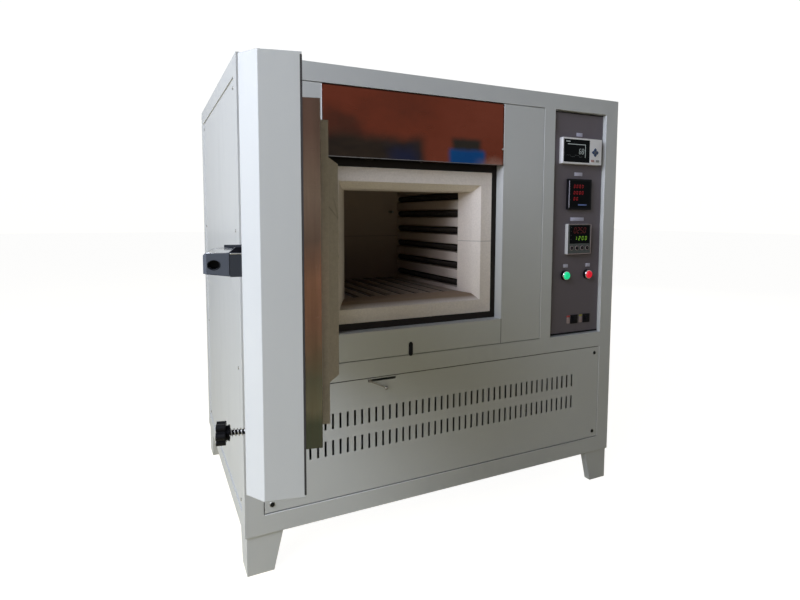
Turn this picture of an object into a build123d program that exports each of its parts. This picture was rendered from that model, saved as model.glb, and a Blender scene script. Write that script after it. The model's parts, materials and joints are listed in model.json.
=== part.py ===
from build123d import *
import math
import os

# Box furnace on four feet. Millimetres, +X to the right, +Y from the front to the back, +Z up.
# The origin is the centre of the footprint on the floor.
# The door is drawn closed and then turned open about its hinge pins.

# Cabinet
foot_height = 100.0
foot_top = 94.0
foot_tip = 70.0
foot_wall = 3.0
foot_inset = 4.0
foot_return = 22.0
sheet = 2.0
tube = 45.0
left_stile = 46.0
right_stile = 50.0
top_rail = 46.0
bottom_rail = 50.0
divider_width = 42.0
cross_rail = 48.0
vent_bay_height = 308.0
door_bay_width = 852.0
control_bay_width = 210.0
rear_space = 110.0
seat_lip = 12.0
panel_gap = 2.0
vent_panel_lift = 3.0
panel_inset = 3.0
panel_return = 16.0

# Mouth, chamber and its lining
mouth_offset = 476.0
casing_rise = 22.0
lintel_height = 178.0
mouth_inner_width = 364.0
mouth_inner_height = 296.0
mouth_outer_width = 440.0
mouth_outer_height = 337.0
mouth_middle_width = 408.0
mouth_middle_height = 302.0
mouth_bevel_depth = 23.0
mouth_ring_width = 514.0
mouth_ring_height = 412.0
mouth_depth = 66.0
recess_width = 548.0
recess_height = 450.0
recess_depth = 34.0
seam_width = 2.0
seam_depth = 1.0
chamber_height = 320.0
chamber_depth = 424.0
wall_block = 60.0
floor_block = 50.0
side_insulation = 88.0
top_insulation = 110.0
bottom_insulation = 78.0
rear_insulation = 104.0
wall_grooves = 6
wall_groove_pitch = 53.0
wall_groove_height = 26.0
wall_groove_depth = 24.0
wall_groove_start = 23.0
floor_grooves = 7
floor_groove_pitch = 48.0
floor_groove_width = 22.0
floor_groove_depth = 22.0
heater_radius = 7.0
probe_radius = 4.0
probe_reach = 30.0
probe_offset = 150.0
probe_height = 242.0
probe_head_radius = 20.0
probe_head_length = 36.0
hole_clearance = 0.3
casing_rail_width = 40.0
casing_rail_height = 40.0
casing_rail_spacing = 420.0

# Door
door_width = 598.0
door_height = 515.0
door_edge = 48.0
door_bevel = 21.3
bevel_angle = 45.0
door_gap = 2.0
door_rise = 2.5
door_skin = 2.0
tray_margin = 39.0
upright_margin = 2.0
tray_depth = 23.7
tray_wall = 2.0
rim_margin = 60.5
seal_gap = 0.5
plug_margin = 99.5
plug_taper = 10.5
plug_reach = 18.2
fill_margin = 64.0
door_open_angle = 102.0

# Door hinge
pin_offset = 101.0
pin_stand_off = 8.5
pin_radius = 4.5
knuckle_radius = 7.5
knuckle_height = 32.0
knuckle_gap = 0.5
pin_clearance = 0.05
hinge_spacing = 360.0
hinge_plate_width = 34.0
hinge_plate_height = 80.0
hinge_plate_thickness = 4.0
arm_thickness = 10.0

# Door handle, latch bolt and clamp knob
handle_length = 118.0
handle_height = 28.4
handle_base_depth = 13.5
handle_inset = 24.0
handle_rise = 18.7
grip_depth = 29.3
grip_slope = 3.5
grip_crest = 2.5
grip_chamfer = 4.0
grip_gap = 0.6
grip_pocket_inset = 12.0
grip_pocket_half_depth = 6.6
grip_pocket_half_height = 5.1
grip_pocket_depth = 10.0
lever_pin_radius = 3.0
lever_ear = 7.0
lever_heel = 6.0
bolt_radius = 5.0
bolt_length = 18.0
bolt_sink = 0.3
bolt_guide = 3.0
bolt_nose = 1.5
bolt_inset = 30.0
keeper_clearance = 0.5
knob_inset = 37.0
knob_drop = 185.5
knob_radius = 14.3
knob_thickness = 11.0
knob_lobes = 6
knob_lobe_radius = 4.5
stud_radius = 3.0
stud_tail = 12.0
washer_radius = 8.0
washer_thickness = 2.0
spring_wire = 1.2
spring_radius = 4.2
spring_length = 21.0
spring_turns = 5
spring_samples = 400

# Lower ventilation panel
slot_count = 44
slot_pitch = 20.2
slot_first_offset = 164.6
slot_width = 6.0
slot_height = 40.0
slot_upper_height = 256.5
slot_lower_height = 187.0
screw_radius = 5.0
screw_head = 2.0
screw_slot = 1.2
screw_margin = 19.0
damper_slot_offset = 323.0
damper_slot_length = 80.0
damper_slot_height = 6.0
damper_slot_level = 350.0
damper_neck = 5.0
damper_plate_height = 7.6
damper_ball_radius = 5.0
damper_rod_radius = 1.6
damper_reach = 48.0
damper_fall = 24.0
damper_stand_off = 8.0
sensor_offset = 449.0
sensor_slot_width = 7.5
sensor_slot_height = 32.0
sensor_slot_bottom = 410.0
sensor_size = 18.0
sensor_cap_width = 12.0
sensor_cap_height = 38.0
sensor_cap_drop = 6.5
sensor_cap_proud = 1.5

# Control panel and instruments
control_inset = 12.0
control_shift = 4.0
recorder_bezel = 16.0
meter_bezel = 10.0
controller_bezel = 14.0
recorder_width = 160.0
recorder_height = 80.0
recorder_drop = 121.0
meter_size = 96.0
meter_drop = 255.0
controller_drop = 396.0
instrument_body = 70.0
instrument_margin = 3.0
window_depth = 1.5
recorder_window_width = 106.0
recorder_window_height = 70.0
recorder_window_inset = 3.0
meter_window = 84.0
controller_window_width = 84.0
controller_window_height = 58.0
controller_window_rise = 15.0
key_count = 4
key_radius = 5.5
key_pitch = 21.5
key_fall = 28.0
key_length = 6.0
key_proud = 1.2
key_clearance = 0.1
key_travel = 0.8
button_spacing = 94.0
button_drop = 511.0
button_flange_radius = 15.5
button_flange = 9.0
button_neck_radius = 13.5
button_bore_radius = 12.0
button_neck_length = 22.0
button_length = 26.0
button_proud = 7.0
button_dome = 4.0
fuse_width = 28.0
fuse_spacing = 52.0
fuse_offset = 24.0
fuse_drop = 655.0
fuse_depth = 24.0
fuse_flange = 2.5
fuse_cap = 2.0
fuse_cap_inset = 6.0

# Electrics behind the control panel and the cable entry
plate_thickness = 3.0
plate_length = 420.0
plate_overlap = 20.0
contactor_width = 64.0
contactor_height = 86.0
contactor_depth = 70.0
terminal_rise = 32.0
regulator_width = 120.0
regulator_height = 170.0
module_width = 96.0
module_height = 102.0
module_depth = 60.0
fin_count = 9
fin_thickness = 2.5
fin_depth = 40.0
gland_radius = 14.0
gland_hex = 18.0
gland_bore = 9.0
gland_length = 30.0
gland_inset = 160.0
gland_level = 130.0
rear_slots = 16
rear_slot_pitch = 20.0
rear_slot_height = 60.0
rear_slot_level = 900.0

# The cabinet's width, depth and height, each as the sum of what stands in a row along it
cab_width = left_stile + door_bay_width + divider_width + control_bay_width + right_stile
lining_depth = mouth_depth + chamber_depth + wall_block + rear_insulation + sheet
cab_depth = recess_depth + lining_depth + rear_space
lower_height = bottom_rail + vent_bay_height + cross_rail
floor_level = lower_height + casing_rise + sheet + bottom_insulation + floor_block
frame_height = floor_level + (mouth_inner_height + recess_height) / 2 + lintel_height + top_rail

left = -cab_width / 2
right = cab_width / 2
front = -cab_depth / 2
back = cab_depth / 2
base = foot_height
top = base + frame_height
mouth_x = left + mouth_offset
chamber_floor_z = base + floor_level
mouth_z = chamber_floor_z + mouth_inner_height / 2
mouth_y = front + recess_depth
bevel_y = mouth_y + mouth_bevel_depth
chamber_y = mouth_y + mouth_depth
rear_y = chamber_y + chamber_depth
half_chamber = mouth_inner_width / 2
ceiling_z = chamber_floor_z + chamber_height

# The three bays of the front frame, each as its width and height limits
vent_bay_x = (left + left_stile, right - right_stile)
vent_bay_z = (base + bottom_rail, base + bottom_rail + vent_bay_height)
upper_bay_z = (vent_bay_z[1] + cross_rail, top - top_rail)
control_bay_x = (right - right_stile - control_bay_width, right - right_stile)
door_bay_x = (left + left_stile, control_bay_x[0] - divider_width)
control_x = sum(control_bay_x) / 2 + control_shift
control_y = front + control_inset

# Limits of the lining, from the chamber outwards
half_wall = half_chamber + wall_block
half_casing = half_wall + side_insulation + sheet
roof_z = ceiling_z + wall_block
casing_z = (chamber_floor_z - floor_block - bottom_insulation - sheet, roof_z + top_insulation + sheet)
casing_y = (mouth_y + sheet, rear_y + wall_block + rear_insulation + sheet)


def block(x, y, z):
    """A box between two limits along each axis."""
    size = (x[1] - x[0], y[1] - y[0], z[1] - z[0])
    centre = (sum(x) / 2, sum(y) / 2, sum(z) / 2)
    return Pos(*centre) * Box(*size)


def around(centre, size):
    """The two limits of a size set about a centre."""
    return (centre - size / 2, centre + size / 2)


def rod(start, direction, radius, length):
    """A round bar from a point along a direction."""
    return Plane(origin=start, z_dir=direction) * Cylinder(
        radius, length, align=(Align.CENTER, Align.CENTER, Align.MIN)
    )


def prism(points, height, plane):
    """A straight prism on a polygon drawn in a plane."""
    face = make_face(Polyline(*points, close=True))
    return plane * extrude(face, height)


def plan(z):
    """The horizontal plane at a level."""
    return Plane(origin=(0, 0, z), z_dir=(0, 0, 1))


def joined(shapes):
    """One shape fused from several."""
    result = shapes[0]
    for shape in shapes[1:]:
        result = result + shape
    return result


def cut(shape, tools):
    """A shape with several others taken out of it."""
    for tool in tools:
        shape = shape - tool
    return shape


def tray(x, z, y_front, depth):
    """A folded panel: a front sheet with returns on its four edges."""
    outer = block(x, (y_front, y_front + depth), z)
    inner_x = (x[0] + sheet, x[1] - sheet)
    inner_z = (z[0] + sheet, z[1] - sheet)
    return outer - block(inner_x, (y_front + sheet, y_front + depth), inner_z)


def inset(limits, amount):
    """Limits moved towards each other."""
    return (limits[0] + amount, limits[1] - amount)


def square_tube(x, y, z, axis):
    """A hollow square tube that is open along one axis."""
    outer = block(x, y, z)
    inner_x = x if axis == "x" else inset(x, sheet)
    inner_y = y if axis == "y" else inset(y, sheet)
    inner_z = z if axis == "z" else inset(z, sheet)
    return outer - block(inner_x, inner_y, inner_z)


def front_frame():
    """Folded front frame with three bays; each bay has a lip that its panel rests on."""
    depth = (front, front + tube)
    bays = [
        (door_bay_x, upper_bay_z, recess_depth),
        (control_bay_x, upper_bay_z, control_inset + sheet),
        (vent_bay_x, vent_bay_z, panel_return),
    ]
    shape = block((left, right), depth, (base, top))
    shape = cut(shape, [block(x, depth, z) for x, z, seat in bays])
    behind = (front + sheet, front + tube)
    full_x = (left + sheet, right - sheet)
    full_z = (base + sheet, top - sheet)
    channels = [
        block(inset((left, door_bay_x[0]), sheet), behind, full_z),
        block(inset((control_bay_x[1], right), sheet), behind, full_z),
        block(full_x, behind, inset((upper_bay_z[1], top), sheet)),
        block(full_x, behind, inset((base, vent_bay_z[0]), sheet)),
        block(full_x, behind, inset((vent_bay_z[1], upper_bay_z[0]), sheet)),
        block(inset((door_bay_x[1], control_bay_x[0]), sheet), behind, inset(upper_bay_z, -sheet)),
    ]
    shape = cut(shape, channels)
    for x, z, seat in bays:
        lip_y = (front + seat, front + seat + sheet)
        ring = block(x, lip_y, z) - block(inset(x, seat_lip), lip_y, inset(z, seat_lip))
        shape = shape + ring
    return shape


def rear_frame():
    """Welded rear frame with a cross member that carries the inner casing."""
    depth = (back - tube, back)
    posts = []
    for x in ((left, left + tube), (right - tube, right)):
        hollow = block(inset(x, sheet), inset(depth, sheet), (base, top - sheet))
        posts.append(block(x, depth, (base, top)) - hollow)
    between = (left + tube, right - tube)
    rails = [
        square_tube(between, depth, (base, base + tube), "x"),
        square_tube(between, depth, (top - tube, top), "x"),
    ]
    cross_y = (back - tube, back - panel_return)
    cross = square_tube(between, cross_y, (vent_bay_z[1], upper_bay_z[0]), "x")
    return joined(posts + rails + [cross])


def side_rails():
    """Four square tubes that join the front and the rear frame."""
    length = (front + tube, back - tube)
    rails = []
    for x in ((left, left + tube), (right - tube, right)):
        for z in ((base, base + tube), (top - tube, top)):
            rails.append(square_tube(x, length, z, "y"))
    return Compound(children=rails)


def casing_rails():
    """Two tubes from the front cross rail to the rear one, under the inner casing."""
    length = (front + tube, back - tube)
    z = (casing_z[0] - casing_rail_height, casing_z[0])
    rails = []
    for side in (-1, 1):
        x = around(mouth_x + side * casing_rail_spacing / 2, casing_rail_width)
        rails.append(square_tube(x, length, z, "y"))
    return Compound(children=rails)


def foot(side_x, side_y):
    """A tapered sheet foot: two outer faces with narrow returns, the lower one flat on the floor."""
    outer_x = left if side_x < 0 else right
    outer_y = front if side_y < 0 else back

    def corner(size, wall, z):
        x = (outer_x - side_x * (foot_inset + wall), outer_x - side_x * (size - wall))
        y = (outer_y - side_y * (foot_inset + wall), outer_y - side_y * (size - wall))
        return Plane(origin=(sum(x) / 2, sum(y) / 2, z)) * Rectangle(abs(x[1] - x[0]), abs(y[1] - y[0]))

    outer = loft([corner(foot_tip, 0, 0), corner(foot_top, 0, foot_height)])
    inner = loft([corner(foot_tip, foot_wall, foot_wall), corner(foot_top, foot_wall, foot_height)])
    open_x = sorted((outer_x - side_x * (foot_inset + foot_return), outer_x - side_x * foot_top))
    open_y = sorted((outer_y - side_y * (foot_inset + foot_return), outer_y - side_y * foot_top))
    return cut(outer, [inner, block(open_x, open_y, (0, foot_height))])


def feet():
    """The four feet as separate solids."""
    return Compound(children=[foot(x, y) for x in (-1, 1) for y in (-1, 1)])


def top_cover():
    """Top panel, set a little below the frame, folded down on its edges."""
    x = (left + tube, right - tube)
    y = (front + tube, back - tube)
    z = (top - panel_inset - panel_return, top - panel_inset)
    hollow = block(inset(x, sheet), inset(y, sheet), (z[0], z[1] - sheet))
    return block(x, y, z) - hollow


def base_plate():
    """Bottom panel with edges folded up."""
    x = (left + tube, right - tube)
    y = (front + tube, back - tube)
    z = (base + panel_inset, base + panel_inset + panel_return)
    hollow = block(inset(x, sheet), inset(y, sheet), (z[0] + sheet, z[1]))
    return block(x, y, z) - hollow


def side_panel(side):
    """Side panel between the frames and the rails, folded in on its edges."""
    outer = right if side > 0 else left
    faces = sorted((outer - side * panel_inset, outer - side * (panel_inset + panel_return)))
    y = (front + tube, back - tube)
    z = (base + tube, top - tube)
    inner = sorted((outer - side * (panel_inset + sheet), outer - side * (panel_inset + panel_return)))
    return block(faces, y, z) - block(inner, inset(y, sheet), inset(z, sheet))


def rear_panel():
    """Rear panel with a group of ventilation slots and the hole for the cable gland."""
    x = (left + tube, right - tube)
    z = (base + tube, top - tube)
    shape = block(x, (back - panel_return, back - panel_inset), z)
    shape = shape - block(inset(x, sheet), (back - panel_return, back - panel_inset - sheet), inset(z, sheet))
    first = mouth_x - rear_slot_pitch * (rear_slots - 1) / 2
    for index in range(rear_slots):
        slot_x = around(first + index * rear_slot_pitch, slot_width)
        slot_z = around(base + rear_slot_level, rear_slot_height)
        shape = shape - block(slot_x, (back - panel_return, back), slot_z)
    return shape - rod(gland_start(), (0, 1, 0), gland_radius + hole_clearance, tube)


def gland_start():
    """Centre of the cable gland, behind the rear panel."""
    return (right - gland_inset, back - tube, base + gland_level)


def cable_gland():
    """Cable gland: a threaded sleeve in the rear panel with a nut on each side and a through bore."""
    x, y, z = gland_start()
    inner_face = back - panel_inset - sheet
    nut = gland_length / 3
    sleeve = rod((x, inner_face - nut, z), (0, 1, 0), gland_radius, nut + sheet + panel_inset)
    plane = Plane(origin=(x, inner_face, z), z_dir=(0, -1, 0))
    inner_nut = plane * extrude(RegularPolygon(gland_hex, 6), nut)
    outer_plane = Plane(origin=(x, back - panel_inset, z), z_dir=(0, 1, 0))
    outer_nut = outer_plane * extrude(RegularPolygon(gland_hex, 6), panel_inset)
    bore = rod((x, y - gland_length, z), (0, 1, 0), gland_bore, 3 * gland_length)
    return joined([sleeve, inner_nut, outer_nut]) - bore


def recess_x():
    """Width limits of the recess that the door's tray enters."""
    return around(mouth_x, recess_width)


def recess_z():
    """Height limits of the recess that the door's tray enters."""
    return around(mouth_z, recess_height)


def door_surround_panel():
    """Inset panel round the mouth: a folded sheet, open at the top for the heat plate."""
    x = inset(door_bay_x, panel_gap)
    z = inset(upper_bay_z, panel_gap)
    hole_x = recess_x()
    hole_z = (recess_z()[0], z[1])
    depth = (front, mouth_y)
    behind = (front + sheet, mouth_y)
    outer = block(x, depth, z) - block(hole_x, depth, hole_z)
    hollow = block(inset(x, sheet), behind, inset(z, sheet))
    hollow = hollow - block(inset(hole_x, -sheet), behind, (hole_z[0] - sheet, hole_z[1]))
    slot_x = around(left + sensor_offset, sensor_slot_width)
    slot_z = (base + sensor_slot_bottom, base + sensor_slot_bottom + sensor_slot_height)
    slot = block(slot_x, (front, front + sheet), slot_z)
    keeper_start = (bolt_x(), bolt_y(), hole_z[0])
    keeper = rod(keeper_start, (0, 0, -1), bolt_radius + keeper_clearance, sheet)
    seam_y = (front, front + seam_depth)
    seam_z = (z[0], hole_z[0])
    seams = [block(around(edge, seam_width), seam_y, seam_z) for edge in hole_x]
    return cut(outer, [hollow, slot, keeper] + seams)


def lintel_plate():
    """Polished heat plate over the mouth, folded back to the casing front."""
    x = inset(recess_x(), panel_gap)
    z = (recess_z()[1], upper_bay_z[1] - panel_gap)
    return tray(x, z, front, recess_depth)


def door_sensor():
    """Door sensor behind its slot in the surround panel, with a rounded cap in front."""
    x = around(left + sensor_offset, sensor_size)
    z_low = base + sensor_slot_bottom
    body = block(x, (front + sheet, front + sheet + sensor_size), (z_low, z_low + sensor_slot_height))
    tongue_x = around(left + sensor_offset, sensor_slot_width)
    tongue = block(tongue_x, (front, front + sheet), (z_low, z_low + sensor_slot_height))
    middle = z_low - sensor_cap_drop + sensor_cap_height / 2
    cap_centre = (left + sensor_offset, front - sensor_cap_proud, middle)
    face = Plane(origin=cap_centre, x_dir=(0, 0, 1), z_dir=(0, 1, 0))
    cap = face * extrude(SlotOverall(sensor_cap_height, sensor_cap_width), sensor_cap_proud)
    return joined([body, tongue, cap])


def mouth_ring():
    return (around(mouth_x, mouth_ring_width), around(mouth_z, mouth_ring_height))


def mouth_frame():
    """Steel front plate of the inner casing, with the opening for the mouth blocks."""
    ring_x, ring_z = mouth_ring()
    depth = (mouth_y, casing_y[0])
    return block(around(mouth_x, 2 * half_casing), depth, casing_z) - block(ring_x, depth, ring_z)


def mouth_slab(side):
    """Upper (1) or lower (-1) mouth block across the whole mouth: a steep bevel, then a slight taper."""
    ring_x, ring_z = mouth_ring()
    outer = ring_z[1] if side > 0 else ring_z[0]
    profile = [
        (mouth_y, mouth_z + side * mouth_outer_height / 2),
        (bevel_y, mouth_z + side * mouth_middle_height / 2),
        (chamber_y, mouth_z + side * mouth_inner_height / 2),
        (chamber_y, outer),
        (mouth_y, outer),
    ]
    plane = Plane(origin=(ring_x[0], 0, 0), x_dir=(0, 1, 0), z_dir=(1, 0, 0))
    return prism(profile, mouth_ring_width, plane)


def mouth_jamb(side):
    """Left (-1) or right (1) mouth block, between the upper and the lower one."""
    ring_z = mouth_ring()[1]
    outline = [
        (mouth_x + side * mouth_outer_width / 2, mouth_y),
        (mouth_x + side * mouth_middle_width / 2, bevel_y),
        (mouth_x + side * mouth_inner_width / 2, chamber_y),
        (mouth_x + side * mouth_ring_width / 2, chamber_y),
        (mouth_x + side * mouth_ring_width / 2, mouth_y),
    ]
    shape = prism(outline, mouth_ring_height, plan(ring_z[0]))
    return cut(shape, [mouth_slab(1), mouth_slab(-1)])


def floor_groove_x(index):
    middle = (floor_grooves - 1) / 2
    return mouth_x + (index - middle) * floor_groove_pitch


def wall_groove_z(index):
    return chamber_floor_z + wall_groove_start + index * wall_groove_pitch


def chamber_floor():
    """Grooved refractory floor under the whole lining."""
    x = around(mouth_x, 2 * half_wall)
    shape = block(x, (chamber_y, rear_y + wall_block), (chamber_floor_z - floor_block, chamber_floor_z))
    grooves = []
    for index in range(floor_grooves):
        groove_x = around(floor_groove_x(index), floor_groove_width)
        z = (chamber_floor_z - floor_groove_depth, chamber_floor_z)
        grooves.append(block(groove_x, (chamber_y, rear_y), z))
    return cut(shape, grooves)


def chamber_side_wall(side):
    """Refractory side wall with level grooves that hold the heaters."""
    x = sorted((mouth_x + side * half_chamber, mouth_x + side * half_wall))
    shape = block(x, (chamber_y, rear_y), (chamber_floor_z, ceiling_z))
    groove_x = sorted((x[0 if side > 0 else 1], x[0 if side > 0 else 1] + side * wall_groove_depth))
    grooves = []
    for index in range(wall_grooves):
        z = around(wall_groove_z(index), wall_groove_height)
        grooves.append(block(groove_x, (chamber_y, rear_y), z))
    return cut(shape, grooves)


def chamber_rear_wall():
    """Refractory rear wall with the hole for the temperature probe."""
    x = around(mouth_x, 2 * half_wall)
    shape = block(x, (rear_y, rear_y + wall_block), (chamber_floor_z, ceiling_z))
    return shape - probe_hole()


def chamber_roof():
    """Refractory roof slab on the walls."""
    x = around(mouth_x, 2 * half_wall)
    return block(x, (chamber_y, rear_y + wall_block), (ceiling_z, roof_z))


def side_heaters():
    """Heating rods in the grooves of both side walls."""
    rods = []
    for side in (-1, 1):
        x = mouth_x + side * (half_chamber + wall_groove_depth / 2)
        for index in range(wall_grooves):
            start = (x, chamber_y, wall_groove_z(index))
            rods.append(rod(start, (0, 1, 0), heater_radius, chamber_depth))
    return Compound(children=rods)


def floor_heaters():
    """Heating rods in the grooves of the floor."""
    z = chamber_floor_z - floor_groove_depth / 2
    rods = []
    for index in range(floor_grooves):
        start = (floor_groove_x(index), chamber_y, z)
        rods.append(rod(start, (0, 1, 0), heater_radius, chamber_depth))
    return Compound(children=rods)


def probe_hole():
    start = (mouth_x + probe_offset, rear_y - probe_reach, chamber_floor_z + probe_height)
    return rod(start, (0, 1, 0), probe_radius + hole_clearance, casing_y[1] - rear_y + 2 * probe_reach)


def thermocouple():
    """Temperature probe from its head behind the casing into the chamber."""
    x = mouth_x + probe_offset
    z = chamber_floor_z + probe_height
    sheath = rod((x, rear_y - probe_reach, z), (0, 1, 0), probe_radius, casing_y[1] - rear_y + probe_reach)
    head = rod((x, casing_y[1], z), (0, 1, 0), probe_head_radius, probe_head_length)
    return sheath + head


def insulation_boards():
    """Fibre boards between the refractory and the casing: two sides, top, bottom, rear and front."""
    wall_x = around(mouth_x, 2 * half_wall)
    shell_x = inset(around(mouth_x, 2 * half_casing), sheet)
    shell_z = inset(casing_z, sheet)
    back_y = (rear_y + wall_block, casing_y[1] - sheet)
    depth = (chamber_y, back_y[0])
    wall_z = (chamber_floor_z - floor_block, roof_z)
    ring_x, ring_z = mouth_ring()
    front_y = (casing_y[0], chamber_y)
    boards = [
        block((shell_x[0], wall_x[0]), depth, shell_z),
        block((wall_x[1], shell_x[1]), depth, shell_z),
        block(wall_x, depth, (wall_z[1], shell_z[1])),
        block(wall_x, depth, (shell_z[0], wall_z[0])),
        block(shell_x, back_y, shell_z) - probe_hole(),
        block(shell_x, front_y, shell_z) - block(ring_x, front_y, ring_z),
    ]
    return Compound(children=boards)


def inner_casing():
    """Steel box round the insulation, open at the front."""
    x = around(mouth_x, 2 * half_casing)
    shape = block(x, casing_y, casing_z)
    hollow = block(inset(x, sheet), (casing_y[0], casing_y[1] - sheet), inset(casing_z, sheet))
    return cut(shape, [hollow, probe_hole()])


def vent_panel_limits():
    """Width and height limits of the lower panel; its lower gap is the widest."""
    return inset(vent_bay_x, panel_gap), (vent_bay_z[0] + vent_panel_lift, vent_bay_z[1] - panel_gap)


def vent_panel():
    """Lower panel with two rows of upright slots and the level slot of the damper."""
    x, z = vent_panel_limits()
    shape = tray(x, z, front, panel_return)
    sheet_y = (front, front + sheet)
    slots = []
    for level in (slot_upper_height, slot_lower_height):
        for index in range(slot_count):
            slot_x = around(left + slot_first_offset + index * slot_pitch, slot_width)
            slots.append(block(slot_x, sheet_y, around(base + level, slot_height)))
    damper_x = (left + damper_slot_offset, left + damper_slot_offset + damper_slot_length)
    slots.append(block(damper_x, sheet_y, around(base + damper_slot_level, damper_slot_height)))
    return shape - Compound(children=slots)


def vent_panel_screws():
    """Four screws in the corners of the lower panel."""
    screws = []
    panel_x, panel_z = vent_panel_limits()
    for x in inset(panel_x, screw_margin):
        for z in inset(panel_z, screw_margin):
            screw = rod((x, front, z), (0, -1, 0), screw_radius, screw_head)
            slot_y = (front - screw_head, front - screw_head / 2)
            slot = block(around(x, 2 * screw_radius), slot_y, around(z, screw_slot))
            screws.append(screw - slot)
    return Compound(children=screws)


def air_lever():
    """Damper slider behind the lower panel, its neck in the slot and a wire handle with a ball."""
    z = base + damper_slot_level
    x = left + damper_slot_offset + damper_neck / 2 + hole_clearance
    plate_y = (front + sheet + hole_clearance, front + 2 * sheet + hole_clearance)
    slide_plate = block(around(x, 4 * damper_neck), plate_y, around(z, damper_plate_height))
    neck = block(around(x, damper_neck), (front - damper_stand_off, plate_y[0]), around(z, damper_neck))
    start = Vector(x, front - damper_stand_off + damper_neck / 2, z)
    run = Vector(damper_reach, 0, -damper_fall)
    wire = rod(start, run, damper_rod_radius, run.length)
    ball = Pos(*(start + run)) * Sphere(damper_ball_radius)
    return joined([slide_plate, neck, wire, ball])


def instruments():
    """Centre level, width, height and bezel depth of each panel instrument, from the top down."""
    return [
        (upper_bay_z[1] - recorder_drop, recorder_width, recorder_height, recorder_bezel),
        (upper_bay_z[1] - meter_drop, meter_size, meter_size, meter_bezel),
        (upper_bay_z[1] - controller_drop, meter_size, meter_size, controller_bezel),
    ]


def button_x(side):
    return control_x + side * button_spacing / 2


def fuse_x(side):
    return control_x + fuse_offset + side * fuse_spacing / 2


def control_plate():
    """Recessed control plate with the cutouts of its instruments, buttons and fuse holders."""
    depth = (control_y, control_y + sheet)
    shape = block(inset(control_bay_x, panel_gap), depth, inset(upper_bay_z, panel_gap))
    for z, width, height, bezel in instruments():
        body_x = inset(around(control_x, width), instrument_margin)
        shape = shape - block(body_x, depth, inset(around(z, height), instrument_margin))
    for side in (-1, 1):
        start = (button_x(side), control_y, upper_bay_z[1] - button_drop)
        shape = shape - rod(start, (0, 1, 0), button_neck_radius, sheet)
        hole_x = inset(around(fuse_x(side), fuse_width), fuse_flange)
        hole_z = inset(around(upper_bay_z[1] - fuse_drop, fuse_width), fuse_flange)
        shape = shape - block(hole_x, depth, hole_z)
    return shape


def instrument_case(index):
    """Bezel in front of the control plate and body through its cutout."""
    z, width, height, bezel_depth = instruments()[index]
    bezel = block(around(control_x, width), (control_y - bezel_depth, control_y), around(z, height))
    bezel = chamfer(bezel.edges().filter_by(Axis.Y), instrument_margin / 2)
    body_x = inset(around(control_x, width), instrument_margin)
    body = block(body_x, (control_y, control_y + instrument_body), inset(around(z, height), instrument_margin))
    return bezel + body


def window_limits(index):
    """Width and height limits of the window of an instrument."""
    z, width, height, bezel = instruments()[index]
    if index == 0:
        x_low = control_x - width / 2 + recorder_window_inset
        return (x_low, x_low + recorder_window_width), around(z, recorder_window_height)
    if index == 1:
        return around(control_x, meter_window), around(z, meter_window)
    return (
        around(control_x, controller_window_width),
        around(z + controller_window_rise, controller_window_height),
    )


def window(index):
    x, z = window_limits(index)
    face = control_y - instruments()[index][3]
    return block(x, (face, face + window_depth), z)


def display_windows():
    """Dark windows of the three instruments, let into their bezels."""
    return Compound(children=[window(index) for index in range(len(instruments()))])


def key_x(index):
    return control_x + (index - (key_count - 1) / 2) * key_pitch


def key_start(index):
    face = control_y - controller_bezel
    return (key_x(index), face - key_proud, upper_bay_z[1] - controller_drop - key_fall)


def controller_case():
    """Temperature controller case with four round pockets for its keys."""
    shape = instrument_case(2) - window(2)
    depth = key_length + key_travel + key_clearance
    pockets = [rod(key_start(i), (0, 1, 0), key_radius + key_clearance, depth) for i in range(key_count)]
    return cut(shape, pockets)


def controller_key(index):
    """Round key with a softened edge."""
    shape = rod(key_start(index), (0, 1, 0), key_radius, key_length)
    return fillet(shape.edges().group_by(Axis.Y)[0], key_proud / 2)


def button_start(side, proud):
    return (button_x(side), control_y - button_flange - proud, upper_bay_z[1] - button_drop)


def button_bezels():
    """Round bezels of the two push buttons, each with its neck through the plate."""
    bezels = []
    for side in (-1, 1):
        flange = rod(button_start(side, 0), (0, 1, 0), button_flange_radius, button_flange)
        neck = rod(button_start(side, 0), (0, 1, 0), button_neck_radius, button_flange + button_neck_length)
        bore = rod(button_start(side, 0), (0, 1, 0), button_bore_radius, button_flange + button_neck_length)
        bezels.append(flange + neck - bore)
    return Compound(children=bezels)


def push_button(side):
    """Push button with a domed lens, running in the bore of its bezel."""
    radius = button_bore_radius - key_clearance
    shape = rod(button_start(side, button_proud), (0, 1, 0), radius, button_length)
    return fillet(shape.edges().group_by(Axis.Y)[0], button_dome)


def fuse_holders():
    """Two square fuse holders with raised caps at the foot of the control plate."""
    holders = []
    for side in (-1, 1):
        x = around(fuse_x(side), fuse_width)
        z = around(upper_bay_z[1] - fuse_drop, fuse_width)
        flange = block(x, (control_y - fuse_flange, control_y), z)
        body = block(inset(x, fuse_flange), (control_y, control_y + fuse_depth), inset(z, fuse_flange))
        cap_y = (control_y - fuse_flange - fuse_cap, control_y - fuse_flange)
        cap = block(inset(x, fuse_cap_inset), cap_y, inset(z, fuse_cap_inset))
        holders.append(joined([flange, body, cap]))
    return Compound(children=holders)


def plate_x():
    return (right - tube - plate_thickness, right - tube)


def electrical_plate():
    """Mounting plate on the inner faces of the right-hand rails."""
    z = (base + tube - plate_overlap, top - tube + plate_overlap)
    return block(plate_x(), around(0, plate_length), z)


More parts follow.
